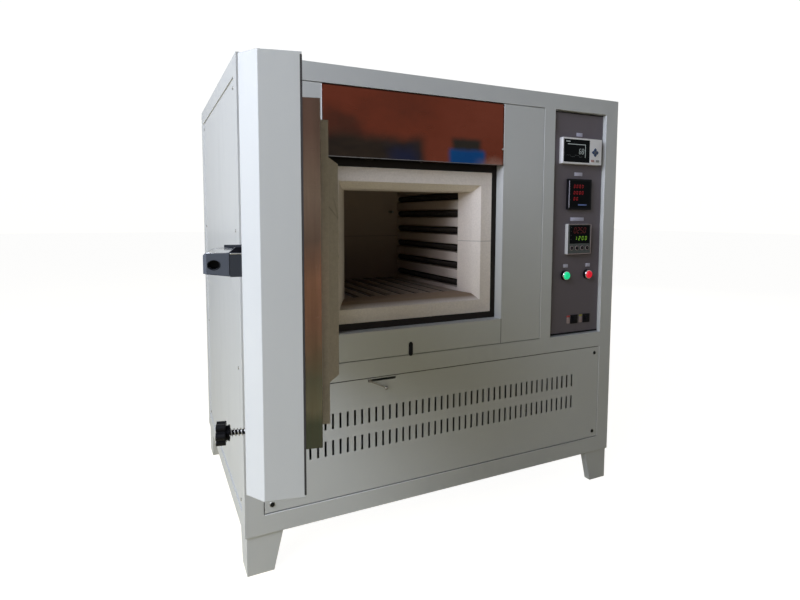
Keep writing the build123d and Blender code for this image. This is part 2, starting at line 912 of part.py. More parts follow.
def contactor():
    """Three-pole contactor with a raised middle and terminal screws."""
    x_high = plate_x()[0]
    z = upper_bay_z[1] - controller_drop
    foot_block = block((x_high - contactor_depth / 2, x_high), around(-plate_length / 4, contactor_width),
                       around(z, contactor_height))
    middle = block((x_high - contactor_depth, x_high - contactor_depth / 2),
                   around(-plate_length / 4, contactor_width), around(z, contactor_height / 2))
    poles = []
    for index in (-1, 0, 1):
        for side in (-1, 1):
            y = -plate_length / 4 + index * contactor_width / 3
            start = (x_high - contactor_depth / 2, y, z + side * terminal_rise)
            poles.append(rod(start, (-1, 0, 0), screw_radius, screw_head))
    return joined([foot_block, middle] + poles)


def power_regulator():
    """Solid-state power regulator: a finned heat sink with its module on it."""
    x_high = plate_x()[0]
    y = plate_length / 4
    z = upper_bay_z[1] - controller_drop
    wide = around(y, regulator_width)
    tall = around(z, regulator_height)
    web = block((x_high - fin_depth - fin_thickness, x_high - fin_depth), wide, tall)
    fins = []
    pitch = (regulator_width - fin_thickness) / (fin_count - 1)
    for index in range(fin_count):
        fin_y = (wide[0] + index * pitch, wide[0] + index * pitch + fin_thickness)
        fins.append(block((x_high - fin_depth, x_high), fin_y, tall))
    module_x = (x_high - fin_depth - fin_thickness - module_depth, x_high - fin_depth - fin_thickness)
    module = block(module_x, around(y, module_width), around(z, module_height))
    return joined([web, module] + fins)


# Door, drawn closed
door_x = around(mouth_x, door_width)
door_level = mouth_z + door_rise
door_z = around(door_level, door_height)
door_inner = front - door_gap
door_outer = door_inner - door_edge - door_bevel
pin_x = left + pin_offset
pin_y = front - pin_stand_off
hinge_levels = around(door_level, hinge_spacing)


def opened(shape):
    """The shape turned with the door from closed to its rest position."""
    return shape.rotate(Axis((pin_x, pin_y, 0), (0, 0, 1)), -door_open_angle)


def door_outline(wall):
    """Plan outline of the door shell, inside a wall of the given thickness."""
    low, high = door_x[0] + wall, door_x[1] - wall
    bevel = door_bevel - wall * math.tan(math.radians(bevel_angle / 2))
    return [
        (low, door_inner - wall),
        (high, door_inner - wall),
        (high, door_outer + wall + bevel),
        (high - bevel, door_outer + wall),
        (low + bevel, door_outer + wall),
        (low, door_outer + wall + bevel),
    ]


def tray_x():
    return inset(door_x, tray_margin)


def tray_z():
    return inset(door_z, tray_margin + upright_margin)


def knob_place():
    return (door_x[1] - knob_inset, door_outer, door_level - knob_drop)


def handle_z():
    return door_level + handle_rise


def door_arm(level):
    """Flat arm from the door's edge to its knuckle, bored for the pin."""
    low = level + knuckle_gap
    z = (low, low + knuckle_height)
    arm_y = (door_inner - arm_thickness, door_inner)
    arm = block((pin_x, door_x[0]), arm_y, z)
    knuckle = rod((pin_x, pin_y, low), (0, 0, 1), knuckle_radius, knuckle_height)
    bore = rod((pin_x, pin_y, low), (0, 0, 1), pin_radius + pin_clearance, knuckle_height)
    return arm + knuckle - bore


def door_shell():
    """Folded door shell with bevelled upright edges and its two hinge arms."""
    shape = prism(door_outline(0), door_height, plan(door_z[0]))
    cavity = prism(door_outline(door_skin), door_height - 2 * door_skin, plan(door_z[0] + door_skin))
    x, y, z = knob_place()
    hole = rod((x, y, z), (0, 1, 0), stud_radius + pin_clearance, door_skin)
    shape = cut(shape, [cavity, hole])
    return joined([shape] + [door_arm(level) for level in hinge_levels])


def door_insulation():
    """Fibre block inside the door shell, clear of the latch edge."""
    y = (door_outer + door_skin, door_inner - door_skin)
    return block(inset(door_x, fill_margin), y, inset(door_z, fill_margin))


def door_tray():
    """Steel tray on the inner face of the door, with the hole of the latch bolt in its lower wall."""
    floor_y = (door_inner, door_inner + tray_wall)
    wall_y = (door_inner, door_inner + tray_depth)
    shape = block(tray_x(), wall_y, tray_z())
    hollow = block(inset(tray_x(), tray_wall), (floor_y[1], wall_y[1]), inset(tray_z(), tray_wall))
    hole = rod((bolt_x(), bolt_y(), tray_z()[0]), (0, 0, 1), bolt_radius + pin_clearance, tray_wall)
    return cut(shape, [hollow, hole])


def rim_y():
    return (door_inner + tray_wall, mouth_y - seal_gap)


def plug_limits(margin):
    return inset(door_x, margin), inset(door_z, margin + upright_margin)


def door_rim():
    """Refractory ring that presses on the face of the mouth."""
    x, z = plug_limits(rim_margin)
    hole_x, hole_z = plug_limits(plug_margin)
    return block(x, rim_y(), z) - block(hole_x, rim_y(), hole_z)


def door_plug():
    """Refractory plug that enters the mouth, its sides sloped."""
    x, z = plug_limits(plug_margin)
    tip_x, tip_z = inset(x, plug_taper), inset(z, plug_taper)
    shape = block(x, rim_y(), z)
    start = Plane(origin=(mouth_x, rim_y()[1], door_level), x_dir=(1, 0, 0), z_dir=(0, 1, 0))
    end = start.offset(plug_reach)
    base_face = start * Rectangle(x[1] - x[0], z[1] - z[0])
    tip_face = end * Rectangle(tip_x[1] - tip_x[0], tip_z[1] - tip_z[0])
    return shape + loft([base_face, tip_face])


def bolt_x():
    return tray_x()[1] - bolt_inset


def bolt_y():
    return door_inner + tray_wall + bolt_guide + bolt_radius


def latch_bolt():
    """Upright latch bolt, drawn back into the tray's lower wall, with a rounded nose."""
    shape = rod((bolt_x(), bolt_y(), tray_z()[0] + bolt_sink), (0, 0, 1), bolt_radius, bolt_length)
    return fillet(shape.edges().group_by(Axis.Z)[0], bolt_nose)


def handle_x():
    high = door_x[1] - handle_inset
    return (high - handle_length, high)


def lever_pivot():
    """Axis of the grip, near the hinge end of the handle."""
    y = door_outer - handle_base_depth - grip_gap - lever_ear
    return (handle_x()[0] + lever_ear, y)


def handle_base():
    """Handle base on the door with two ears that hold the grip's pin."""
    x = handle_x()
    z = around(handle_z(), handle_height)
    plate = block(x, (door_outer - handle_base_depth, door_outer), z)
    px, py = lever_pivot()
    parts = [plate]
    for side in (-1, 1):
        ear_z = handle_z() + side * handle_height / 2
        limits = sorted((ear_z, ear_z + side * lever_pin_radius))
        ear = block((px - lever_ear, px + lever_ear), (py - lever_ear, door_outer), limits)
        parts.append(ear)
    pin = rod((px, py, handle_z() - handle_height / 2), (0, 0, 1), lever_pin_radius, handle_height)
    return joined(parts + [pin])


def handle_grip():
    """Grip that swings out from the base, its underside sloped, with an oval pocket in its free end."""
    x0, x1 = handle_x()
    px, py = lever_pivot()
    y_in = door_outer - handle_base_depth - grip_gap
    y_out = y_in - grip_depth
    corner = grip_chamfer
    outline = [
        (x0 + lever_ear * 2 + corner, y_out),
        (x1 - corner, y_out),
        (x1, y_out + corner),
        (x1, y_in),
        (px, y_in),
        (px - lever_heel, py),
        (px, py - lever_ear),
    ]
    tall = handle_height - 2 * grip_gap
    low, high = around(handle_z(), tall)
    shape = prism(outline, tall, plan(low))
    profile = [
        (y_in, low),
        (y_in, high),
        (y_out + grip_crest, high),
        (y_out, high - grip_crest),
        (y_out, low + grip_slope),
    ]
    side_view = Plane(origin=(x0, 0, 0), x_dir=(0, 1, 0), z_dir=(1, 0, 0))
    shape = shape & prism(profile, handle_length, side_view)
    bore = rod((px, py, handle_z() - tall), (0, 0, 1), lever_pin_radius + pin_clearance, 2 * tall)
    start = Plane(origin=(x1, y_out + grip_pocket_inset, handle_z()), z_dir=(-1, 0, 0), x_dir=(0, 1, 0))
    pocket = start * extrude(Ellipse(grip_pocket_half_depth, grip_pocket_half_height), grip_pocket_depth)
    return cut(shape, [bore, pocket])


def star_knob():
    """Lobed clamp knob on a stud that passes through the spring into the door."""
    x, y, z = knob_place()
    seat = y - spring_length - washer_thickness
    start = (x, seat - knob_thickness, z)
    shape = rod(start, (0, 1, 0), knob_radius - knob_lobe_radius, knob_thickness)
    for index in range(knob_lobes):
        angle = math.radians(360 / knob_lobes * index)
        reach = knob_radius - knob_lobe_radius
        lobe_x = x + reach * math.cos(angle)
        lobe_z = z + reach * math.sin(angle)
        shape = shape + rod((lobe_x, start[1], lobe_z), (0, 1, 0), knob_lobe_radius, knob_thickness)
    stud_length = knob_thickness / 2 + washer_thickness + spring_length + door_skin + stud_tail
    stud = rod((x, seat - knob_thickness / 2, z), (0, 1, 0), stud_radius, stud_length)
    return shape + stud


def spring_washer():
    """Washer between the knob and its spring."""
    x, y, z = knob_place()
    start = (x, y - spring_length - washer_thickness, z)
    ring = rod(start, (0, 1, 0), washer_radius, washer_thickness)
    return ring - rod(start, (0, 1, 0), stud_radius + pin_clearance, washer_thickness)


def knob_spring():
    """Spring round the stud: one wire along quarter turns that climb evenly."""
    x, y, z = knob_place()
    points = []
    tangents = []
    rise = (spring_length - spring_wire) / spring_turns
    climb = rise / (2 * math.pi * spring_radius)
    for index in range(4 * spring_turns + 1):
        angle = index * math.pi / 2
        height = spring_wire / 2 + index * rise / 4
        points.append((x + spring_radius * math.cos(angle), y - height, z + spring_radius * math.sin(angle)))
        tangents.append(Vector(-math.sin(angle), -climb, math.cos(angle)))
    return spring_sweep(points, tangents)


def biarc(start, start_way, end, end_way):
    """Two tangent arcs from one point to another with given directions at both ends."""
    gap = Vector(*end) - Vector(*start)
    a, b = start_way.normalized(), end_way.normalized()
    total = a + b
    span = gap.dot(total)
    square = 2 * (1 - a.dot(b))
    reach = (-span + math.sqrt(span * span + square * gap.dot(gap))) / square
    middle = (Vector(*start) + a * reach + Vector(*end) - b * reach) * 0.5
    first = Edge.make_tangent_arc(Vector(*start), a, middle)
    second = Edge.make_tangent_arc(middle, first % 1, Vector(*end))
    return [first, second]


def spring_sweep(points, tangents):
    """One unbroken wire of round section along arcs through the points."""
    edges = []
    for index in range(len(points) - 1):
        edges += biarc(points[index], tangents[index], points[index + 1], tangents[index + 1])
    path = Wire(edges)
    print("least gap between the coils of the knob spring, mm:", round(coil_gap(path), 3))
    section = Plane(origin=path @ 0, z_dir=path % 0) * Circle(spring_wire / 2)
    return sweep(section, path=path)


def coil_gap(path):
    """Least gap of the wire to itself, from points at least half a turn apart along it."""
    points = [path @ (index / spring_samples) for index in range(spring_samples + 1)]
    apart = spring_samples // (2 * spring_turns)
    gaps = []
    for index, point in enumerate(points):
        gaps += [(point - other).length for other in points[index + apart:]]
    return min(gaps) - spring_wire


def hinge_brackets():
    """Fixed hinge halves: a plate on the front, a knuckle and the upright pin."""
    parts = []
    for level in hinge_levels:
        plate_x1 = pin_x - knuckle_radius + hinge_plate_thickness
        plate_z = (level - hinge_plate_height, level)
        plate = block((plate_x1 - hinge_plate_width, plate_x1), (front - hinge_plate_thickness, front), plate_z)
        knuckle = rod((pin_x, pin_y, level - knuckle_height), (0, 0, 1), knuckle_radius, knuckle_height)
        web = block((plate_x1 - hinge_plate_thickness, pin_x), (pin_y, front), (level - knuckle_height, level))
        pin = rod((pin_x, pin_y, level - knuckle_height), (0, 0, 1), pin_radius, 2 * knuckle_height)
        parts.append(joined([plate, knuckle, web, pin]))
    return Compound(children=parts)


def key_nodes():
    return {f"controller_key_{index + 1}": controller_key(index) for index in range(key_count)}


cabinet = {
    "front_frame": front_frame(),
    "rear_frame": rear_frame(),
    "side_rails": side_rails(),
    "casing_rails": casing_rails(),
    "feet": feet(),
    "top_cover": top_cover(),
    "base_plate": base_plate(),
    "left_side_panel": side_panel(-1),
    "right_side_panel": side_panel(1),
    "rear_panel": rear_panel(),
    "cable_gland": cable_gland(),
    "door_surround_panel": door_surround_panel(),
    "lintel_plate": lintel_plate(),
    "door_sensor": door_sensor(),
    "mouth_frame": mouth_frame(),
    "mouth_block_top": mouth_slab(1),
    "mouth_block_bottom": mouth_slab(-1),
    "mouth_block_left": mouth_jamb(-1),
    "mouth_block_right": mouth_jamb(1),
    "chamber_floor": chamber_floor(),
    "chamber_roof": chamber_roof(),
    "chamber_left_wall": chamber_side_wall(-1),
    "chamber_right_wall": chamber_side_wall(1),
    "chamber_rear_wall": chamber_rear_wall(),
    "side_heaters": side_heaters(),
    "floor_heaters": floor_heaters(),
    "thermocouple": thermocouple(),
    "insulation_boards": insulation_boards(),
    "inner_casing": inner_casing(),
    "vent_panel": vent_panel(),
    "vent_panel_screws": vent_panel_screws(),
    "air_lever": air_lever(),
    "control_plate": control_plate(),
    "recorder_case": instrument_case(0) - window(0),
    "power_meter_case": instrument_case(1) - window(1),
    "controller_case": controller_case(),
    "display_windows": display_windows(),
    "button_bezels": button_bezels(),
    "start_button": push_button(-1),
    "stop_button": push_button(1),
    "fuse_holders": fuse_holders(),
    "electrical_plate": electrical_plate(),
    "contactor": contactor(),
    "power_regulator": power_regulator(),
    "hinge_brackets": hinge_brackets(),
    **key_nodes(),
}

door = {
    "door_shell": door_shell(),
    "door_insulation": door_insulation(),
    "door_tray": door_tray(),
    "door_rim": door_rim(),
    "door_plug": door_plug(),
    "latch_bolt": latch_bolt(),
    "handle_base": handle_base(),
    "handle_grip": handle_grip(),
    "star_knob": star_knob(),
    "spring_washer": spring_washer(),
    "knob_spring": knob_spring(),
}

os.makedirs("parts", exist_ok=True)
for name, shape in cabinet.items():
    export_step(shape, f"parts/{name}.step")
for name, shape in door.items():
    export_step(opened(shape), f"parts/{name}.step")
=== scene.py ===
import json
import math

import bmesh
import bpy
from mathutils import Matrix, Vector


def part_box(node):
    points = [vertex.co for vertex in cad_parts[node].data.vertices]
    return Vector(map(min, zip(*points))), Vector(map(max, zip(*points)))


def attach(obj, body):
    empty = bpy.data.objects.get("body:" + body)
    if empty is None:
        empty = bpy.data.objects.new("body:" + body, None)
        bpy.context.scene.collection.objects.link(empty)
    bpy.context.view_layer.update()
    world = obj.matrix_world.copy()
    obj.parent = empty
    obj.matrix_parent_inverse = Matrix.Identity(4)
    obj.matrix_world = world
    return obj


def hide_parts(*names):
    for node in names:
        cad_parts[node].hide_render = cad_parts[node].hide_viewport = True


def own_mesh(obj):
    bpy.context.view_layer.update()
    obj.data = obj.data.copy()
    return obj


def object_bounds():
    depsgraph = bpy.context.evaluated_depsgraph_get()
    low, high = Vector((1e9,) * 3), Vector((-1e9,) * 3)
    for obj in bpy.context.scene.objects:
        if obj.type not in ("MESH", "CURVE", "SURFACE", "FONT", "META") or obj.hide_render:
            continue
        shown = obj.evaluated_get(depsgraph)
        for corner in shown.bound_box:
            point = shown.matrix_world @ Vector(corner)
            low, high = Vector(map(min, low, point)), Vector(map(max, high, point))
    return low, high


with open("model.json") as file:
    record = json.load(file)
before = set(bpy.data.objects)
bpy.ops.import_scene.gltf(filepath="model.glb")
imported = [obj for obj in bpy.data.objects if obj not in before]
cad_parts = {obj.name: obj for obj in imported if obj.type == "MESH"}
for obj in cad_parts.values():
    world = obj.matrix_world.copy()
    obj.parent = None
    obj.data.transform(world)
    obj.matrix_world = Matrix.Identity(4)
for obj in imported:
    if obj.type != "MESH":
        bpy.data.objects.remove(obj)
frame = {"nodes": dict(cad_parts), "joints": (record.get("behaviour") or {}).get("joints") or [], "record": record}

cad_low, cad_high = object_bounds()
MM = 0.001

joints = {joint["name"]: joint for joint in frame["joints"]}
hinge_pin = Vector(joints["door_hinge"]["pos_m"])
open_angle = math.radians(joints["door_hinge"]["range_deg"][1])
# Turns a point of the shut door to where the open door has it
SWING = (Matrix.Translation(hinge_pin) @ Matrix.Rotation(-open_angle, 4, "Z")
         @ Matrix.Translation(-hinge_pin))


# Materials


class Wiring:
    """A node tree, with a short way to add nodes to it."""

    def __init__(self, tree):
        self.nodes, self.links = tree.nodes, tree.links

    def feed(self, socket, value):
        """Puts a value or another node's output into a socket."""
        if isinstance(value, bpy.types.NodeSocket):
            self.links.new(value, socket)
        else:
            socket.default_value = value

    def node(self, kind, **inputs):
        """A new node; an input's name is written with _ for each blank."""
        node = self.nodes.new(kind)
        for name, value in inputs.items():
            self.feed(node.inputs[name.replace("_", " ")], value)
        return node

    def worked(self, kind, operation, *values):
        node = self.nodes.new(kind)
        node.operation = operation
        for socket, value in zip(node.inputs, values):
            self.feed(socket, value)
        return node.outputs[0]

    def times(self, a, b):
        return self.worked("ShaderNodeMath", "MULTIPLY", a, b)

    def spread(self, value, **limits):
        return self.node("ShaderNodeMapRange", Value=value, **limits).outputs["Result"]

    def mixed(self, fac, a, b):
        node = self.nodes.new("ShaderNodeMix")
        node.data_type = "RGBA"
        self.feed(node.inputs["Factor"], fac)
        for socket, colour in ((node.inputs[6], a), (node.inputs[7], b)):
            self.feed(socket, (*colour, 1) if isinstance(colour, tuple) else colour)
        return node.outputs[2]


class Surface(Wiring):
    """A procedural material: layers of noise drive its colour, roughness and relief."""

    def __init__(self, name, roughness, metallic=0.0, coat=0.0, specular=0.5):
        self.material = bpy.data.materials.new(name)
        self.material.use_nodes = True
        super().__init__(self.material.node_tree)
        self.shader = self.nodes["Principled BSDF"]
        for socket, value in (("Roughness", roughness), ("Metallic", metallic), ("Coat Weight", coat),
                              ("Specular IOR Level", specular)):
            self.shader.inputs[socket].default_value = value
        self.place = self.node("ShaderNodeTexCoord").outputs["Object"]

    def noise(self, scale, detail=4.0, rough=0.55, stretch=(1, 1, 1)):
        place = self.node("ShaderNodeMapping", Scale=stretch, Vector=self.place).outputs["Vector"]
        node = self.node("ShaderNodeTexNoise", Scale=scale, Detail=detail, Roughness=rough, Vector=place)
        return node.outputs["Fac"]

    def cells(self, scale, feature="F1"):
        node = self.node("ShaderNodeTexVoronoi", Scale=scale, Vector=self.place)
        node.feature = feature
        return node.outputs["Distance"]

    def along(self, axis, low, high):
        """0 at one level of an axis and 1 at another."""
        split = self.node("ShaderNodeSeparateXYZ", Vector=self.place)
        return self.spread(split.outputs[axis], From_Min=low, From_Max=high)

    def patch(self, across, upright, soft, ragged):
        """1 inside a soft-edged area of the X-Z plane whose border is ragged, 0 outside."""
        border = self.node("ShaderNodeTexNoise", Scale=14.0, Detail=4.0, Vector=self.place)
        centred = self.worked("ShaderNodeVectorMath", "SUBTRACT", border.outputs["Color"], (0.5, 0.5, 0.5))
        shift = self.worked("ShaderNodeVectorMath", "MULTIPLY", centred, (2 * ragged,) * 3)
        place = self.worked("ShaderNodeVectorMath", "ADD", self.place, shift)
        split = self.node("ShaderNodeSeparateXYZ", Vector=place)
        inside = None
        for axis, (low, high), blur in (("X", across, soft[0]), ("Z", upright, soft[1])):
            for start, end in ((low - blur, low + blur), (high + blur, high - blur)):
                side = self.spread(split.outputs[axis], From_Min=start, From_Max=end)
                side.node.interpolation_type = "SMOOTHSTEP"
                inside = self.times(inside, side) if inside else side
        return inside

    def ramp(self, fac, stops):
        node = self.node("ShaderNodeValToRGB", Fac=fac)
        elements = node.color_ramp.elements
        for element, (position, colour) in ((elements[0], stops[0]), (elements[1], stops[-1])):
            element.position = position
            element.color = (*colour, 1)
        for position, colour in stops[1:-1]:
            elements.new(position).color = (*colour, 1)
        return node.outputs["Color"]

    def grey_ramp(self, fac, low, high, dark=0.0, light=1.0):
        return self.ramp(fac, [(low, (dark,) * 3), (high, (light,) * 3)])

    def colour(self, socket):
        self.feed(self.shader.inputs["Base Color"], socket)

    def varied_roughness(self, fac, low, high):
        self.feed(self.shader.inputs["Roughness"], self.spread(fac, To_Min=low, To_Max=high))

    def relief(self, layers, edge=0.0):
        """Bumps from (height, strength, distance in metres) layers over softly rounded edges."""
        base = {}
        if edge:
            bevel = self.node("ShaderNodeBevel", Radius=edge)
            bevel.samples = 4
            base = {"Normal": bevel.outputs["Normal"]}
        for height, strength, distance in layers:
            bump = self.node("ShaderNodeBump", Height=height, Strength=strength, Distance=distance, **base)
            base = {"Normal": bump.outputs["Normal"]}
        self.feed(self.shader.inputs["Normal"], base["Normal"])


def shaded(colour, amount):
    return tuple(min(1.0, c * amount) for c in colour)


def enamel_tone(s, colour):
    """The colour of enamel with faint clouds in it."""
    return s.mixed(s.noise(3.0, 5.0), shaded(colour, 0.965), shaded(colour, 1.03))


def orange_peel(s):
    return s.noise(900.0, 2.0), 0.08, 0.2 * MM


def powder_coat(name, colour, roughness=0.42, edge=1.6 * MM):
    """Stove enamel on sheet steel: fine orange peel and faint wipe marks."""
    s = Surface(name, roughness, coat=0.12)
    wiped = s.noise(14.0, 3.0, stretch=(1, 1, 0.25))
    s.colour(s.mixed(s.grey_ramp(wiped, 0.58, 0.75), enamel_tone(s, colour), shaded(colour, 0.955)))
    s.varied_roughness(wiped, roughness - 0.06, roughness + 0.08)
    s.relief([orange_peel(s)], edge)
    return s.material


def cut_sheet(name, colour, face, deepest):
    """Enamelled sheet whose narrow grooves and cut edges, just behind its face, are painted dark as shade."""
    s = Surface(name, 0.42, coat=0.12)
    groove_shade = s.along("Y", face + 0.3 * MM, face + 0.6 * MM)
    if deepest:
        groove_shade = s.times(groove_shade, s.along("Y", face + deepest + 0.3 * MM, face + deepest))
    # Painted shade in the grooves and cut edges
    s.colour(s.mixed(groove_shade, enamel_tone(s, colour), (0.03, 0.029, 0.027)))
    s.relief([orange_peel(s)])
    return s.material


EVEN = (1, 1, 1)


def brushed_metal(name, colour, roughness=0.32, stretch=(1, 1, 12)):
    """Bare or plated steel with fine lines along one way, or an even grain, and faint stains."""
    s = Surface(name, roughness, metallic=1.0)
    lines = s.noise(160.0, 3.0, stretch=stretch)
    stain = s.noise(9.0, 5.0)
    tone = s.mixed(lines, shaded(colour, 0.86), shaded(colour, 1.1))
    s.colour(s.mixed(s.grey_ramp(stain, 0.5, 0.8, 0.0, 0.5), tone, shaded(colour, 0.62)))
    s.varied_roughness(stain, roughness - 0.06, roughness + 0.14)
    s.relief([(lines, 0.05, 0.1 * MM)], 0.5 * MM)
    return s.material


def tinted_reflecting_steel(name):
    """Polished stainless, sooty at the left, whose copper red and blue towards the right are partly heat tint and
    partly painted reflection.
    """
    s = Surface(name, 0.24, metallic=1.0)
    cloud = s.noise(4.5, 6.0, 0.62, stretch=(0.8, 1, 1.3))
    fine = s.noise(30.0, 4.0, stretch=(0.5, 1, 1.4))
    tint = s.ramp(cloud, [(0.28, (0.125, 0.035, 0.022)), (0.48, (0.175, 0.042, 0.024)),
                          (0.7, (0.2, 0.05, 0.03))])
    soot = s.mixed(fine, (0.014, 0.012, 0.013), (0.06, 0.042, 0.03))
    blue = s.mixed(fine, (0.008, 0.05, 0.2), (0.012, 0.09, 0.27))
    # Of each patch the spans in x and z, the softness of its sides, its raggedness, its share and its colour
    patches = (
        ((-0.39, -0.3), (1.07, 1.14), (0.05, 0.03), 0.06, 0.6, soot),
        ((-0.42, -0.11), (1.0, 1.09), (0.02, 0.02), 0.016, 1.0, soot),
        ((-0.21, -0.13), (1.0, 1.07), (0.03, 0.02), 0.03, 0.5, (0.01, 0.025, 0.09)),
        ((-0.025, 0.07), (1.062, 1.098), (0.012, 0.01), 0.01, 1.0, (0.035, 0.03, 0.026)),
        ((-0.035, 0.085), (1.0, 1.068), (0.01, 0.008), 0.01, 1.0, blue),
        # A painted highlight at the right
        ((0.085, 0.16), (1.0, 1.046), (0.04, 0.012), 0.02, 1.0, (0.3, 0.16, 0.13)),
    )
    for across, upright, soft, ragged, share, colour in patches:
        tint = s.mixed(s.times(s.patch(across, upright, soft, ragged), share), tint, colour)
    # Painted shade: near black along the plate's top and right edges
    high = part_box("lintel_plate")[1]
    clear_of_edge_shade = s.times(s.along("Z", high.z, high.z - 4 * MM), s.along("X", high.x, high.x - 4 * MM))
    s.colour(s.mixed(clear_of_edge_shade, (0.006, 0.005, 0.005), tint))
    s.varied_roughness(fine, 0.16, 0.34)
    s.relief([(s.noise(5.0, 2.0), 0.1, 2.0 * MM), (fine, 0.05, 0.2 * MM)], 0.8 * MM)
    return s.material


TRAY_TINT_FOOT, TRAY_TINT_TOP = 0.58, 1.03


def door_tray_steel(name):
    """Stainless tray of the door with upright streaks: brown above, copper in the middle, olive below; the
    brightest copper band is partly a painted highlight.
    """
    s = Surface(name, 0.24, metallic=1.0)
    streak = s.noise(30.0, 5.0, 0.6, stretch=(1, 1, 0.06))
    cloud = s.noise(8.0, 4.0, stretch=(1, 1, 0.6))
    fine = s.noise(60.0, 3.0, stretch=(1, 1, 8))
    height = s.along("Z", TRAY_TINT_FOOT, TRAY_TINT_TOP)
    level = s.mixed(s.grey_ramp(cloud, 0.2, 0.8, 0.0, 0.22), height, (1.0, 1.0, 1.0))
    tint = s.ramp(level, [(0.0, (0.09, 0.11, 0.1)), (0.17, (0.09, 0.11, 0.09)), (0.22, (0.21, 0.2, 0.16)),
                          (0.3, (0.17, 0.17, 0.14)), (0.37, (0.26, 0.19, 0.15)), (0.45, (0.52, 0.28, 0.22)),
                          # The bright copper stop at 0.56 is partly a painted highlight
                          (0.56, (0.84, 0.43, 0.3)), (0.66, (0.36, 0.24, 0.19)), (0.78, (0.35, 0.25, 0.19)),
                          (0.92, (0.19, 0.11, 0.085)), (1.0, (0.17, 0.1, 0.08))])
    s.colour(s.mixed(s.grey_ramp(streak, 0.38, 0.68, 0.0, 0.7), tint, (0.11, 0.075, 0.055)))
    s.varied_roughness(fine, 0.16, 0.32)
    s.relief([(fine, 0.05, 0.1 * MM)], 0.8 * MM)
    return s.material


def refractory(name, colour, crumb=0.5, deep=None, joint=None):
    """Cast ceramic: grains, pores, stains and hairline cracks; another tint inwards, a joint at one height."""
    s = Surface(name, 0.93, specular=0.2)
    cloud = s.noise(5.0, 6.0, 0.6)
    grain = s.noise(220.0, 4.0, 0.7)
    pores = s.cells(150.0)
    cracks = s.cells(4.5, "DISTANCE_TO_EDGE")
    tone = s.mixed(cloud, shaded(colour, 0.84), shaded(colour, 1.08))
    tone = s.mixed(s.grey_ramp(grain, 0.35, 0.7, 0.0, crumb), tone, shaded(colour, 0.72))
    if deep:
        start, end, tint = deep
        inner = s.mixed(cloud, shaded(tint, 0.85), shaded(tint, 1.1))
        tone = s.mixed(s.along("Y", start, end), tone, inner)
    if joint:
        above_foot = s.along("Z", joint - 1.3 * MM, joint - 0.9 * MM)
        below_top = s.along("Z", joint + 1.3 * MM, joint + 0.9 * MM)
        line = s.times(s.times(above_foot, below_top), 0.4)
        tone = s.mixed(line, tone, shaded(colour, 0.12))
    hairline = s.times(s.grey_ramp(cracks, 0.0, 0.006, 1.0, 0.0), s.grey_ramp(cloud, 0.52, 0.6))
    s.colour(s.mixed(s.times(hairline, 0.6), tone, shaded(colour, 0.35)))
    s.relief([(grain, 0.35, 0.5 * MM), (s.grey_ramp(pores, 0.1, 0.35), 0.25, 0.5 * MM)], 1.4 * MM)
    return s.material


def moulded(name, colour, roughness=0.42, grain=0.1, edge=0.6 * MM, specular=0.5):
    """Moulded plastic with a fine grain."""
    s = Surface(name, roughness, specular=specular)
    cloud = s.noise(18.0, 3.0)
    s.colour(s.mixed(cloud, shaded(colour, 0.9), shaded(colour, 1.1)))
    s.varied_roughness(cloud, roughness - 0.05, roughness + 0.08)
    s.relief([(s.noise(1500.0, 2.0), grain, 0.1 * MM)], edge)
    return s.material


def glowing(name, colour, strength):
    """A lit lamp or display segment with slightly brighter spots."""
    s = Surface(name, 0.3)
    tone = s.mixed(s.noise(400.0, 2.0), shaded(colour, 0.75), colour)
    s.colour(tone)
    s.links.new(tone, s.shader.inputs["Emission Color"])
    s.shader.inputs["Emission Strength"].default_value = strength
    return s.material


def two_tone_case(name, front, sides, face):
    """A moulded case whose front is a dark membrane and whose sides are light."""
    s = Surface(name, 0.45, specular=0.3)
    cloud = s.noise(18.0, 3.0)
    dark = s.mixed(cloud, shaded(front, 0.85), shaded(front, 1.15))
    light = s.mixed(cloud, shaded(sides, 0.92), shaded(sides, 1.05))
    s.colour(s.mixed(s.along("Y", face + 0.6 * MM, face + 0.9 * MM), dark, light))
    s.relief([(s.noise(1500.0, 2.0), 0.1, 0.1 * MM)], 0.6 * MM)
    return s.material


ENAMEL = (0.56, 0.565, 0.555)
MOUTH_TINT = (0.94, 0.84, 0.77)
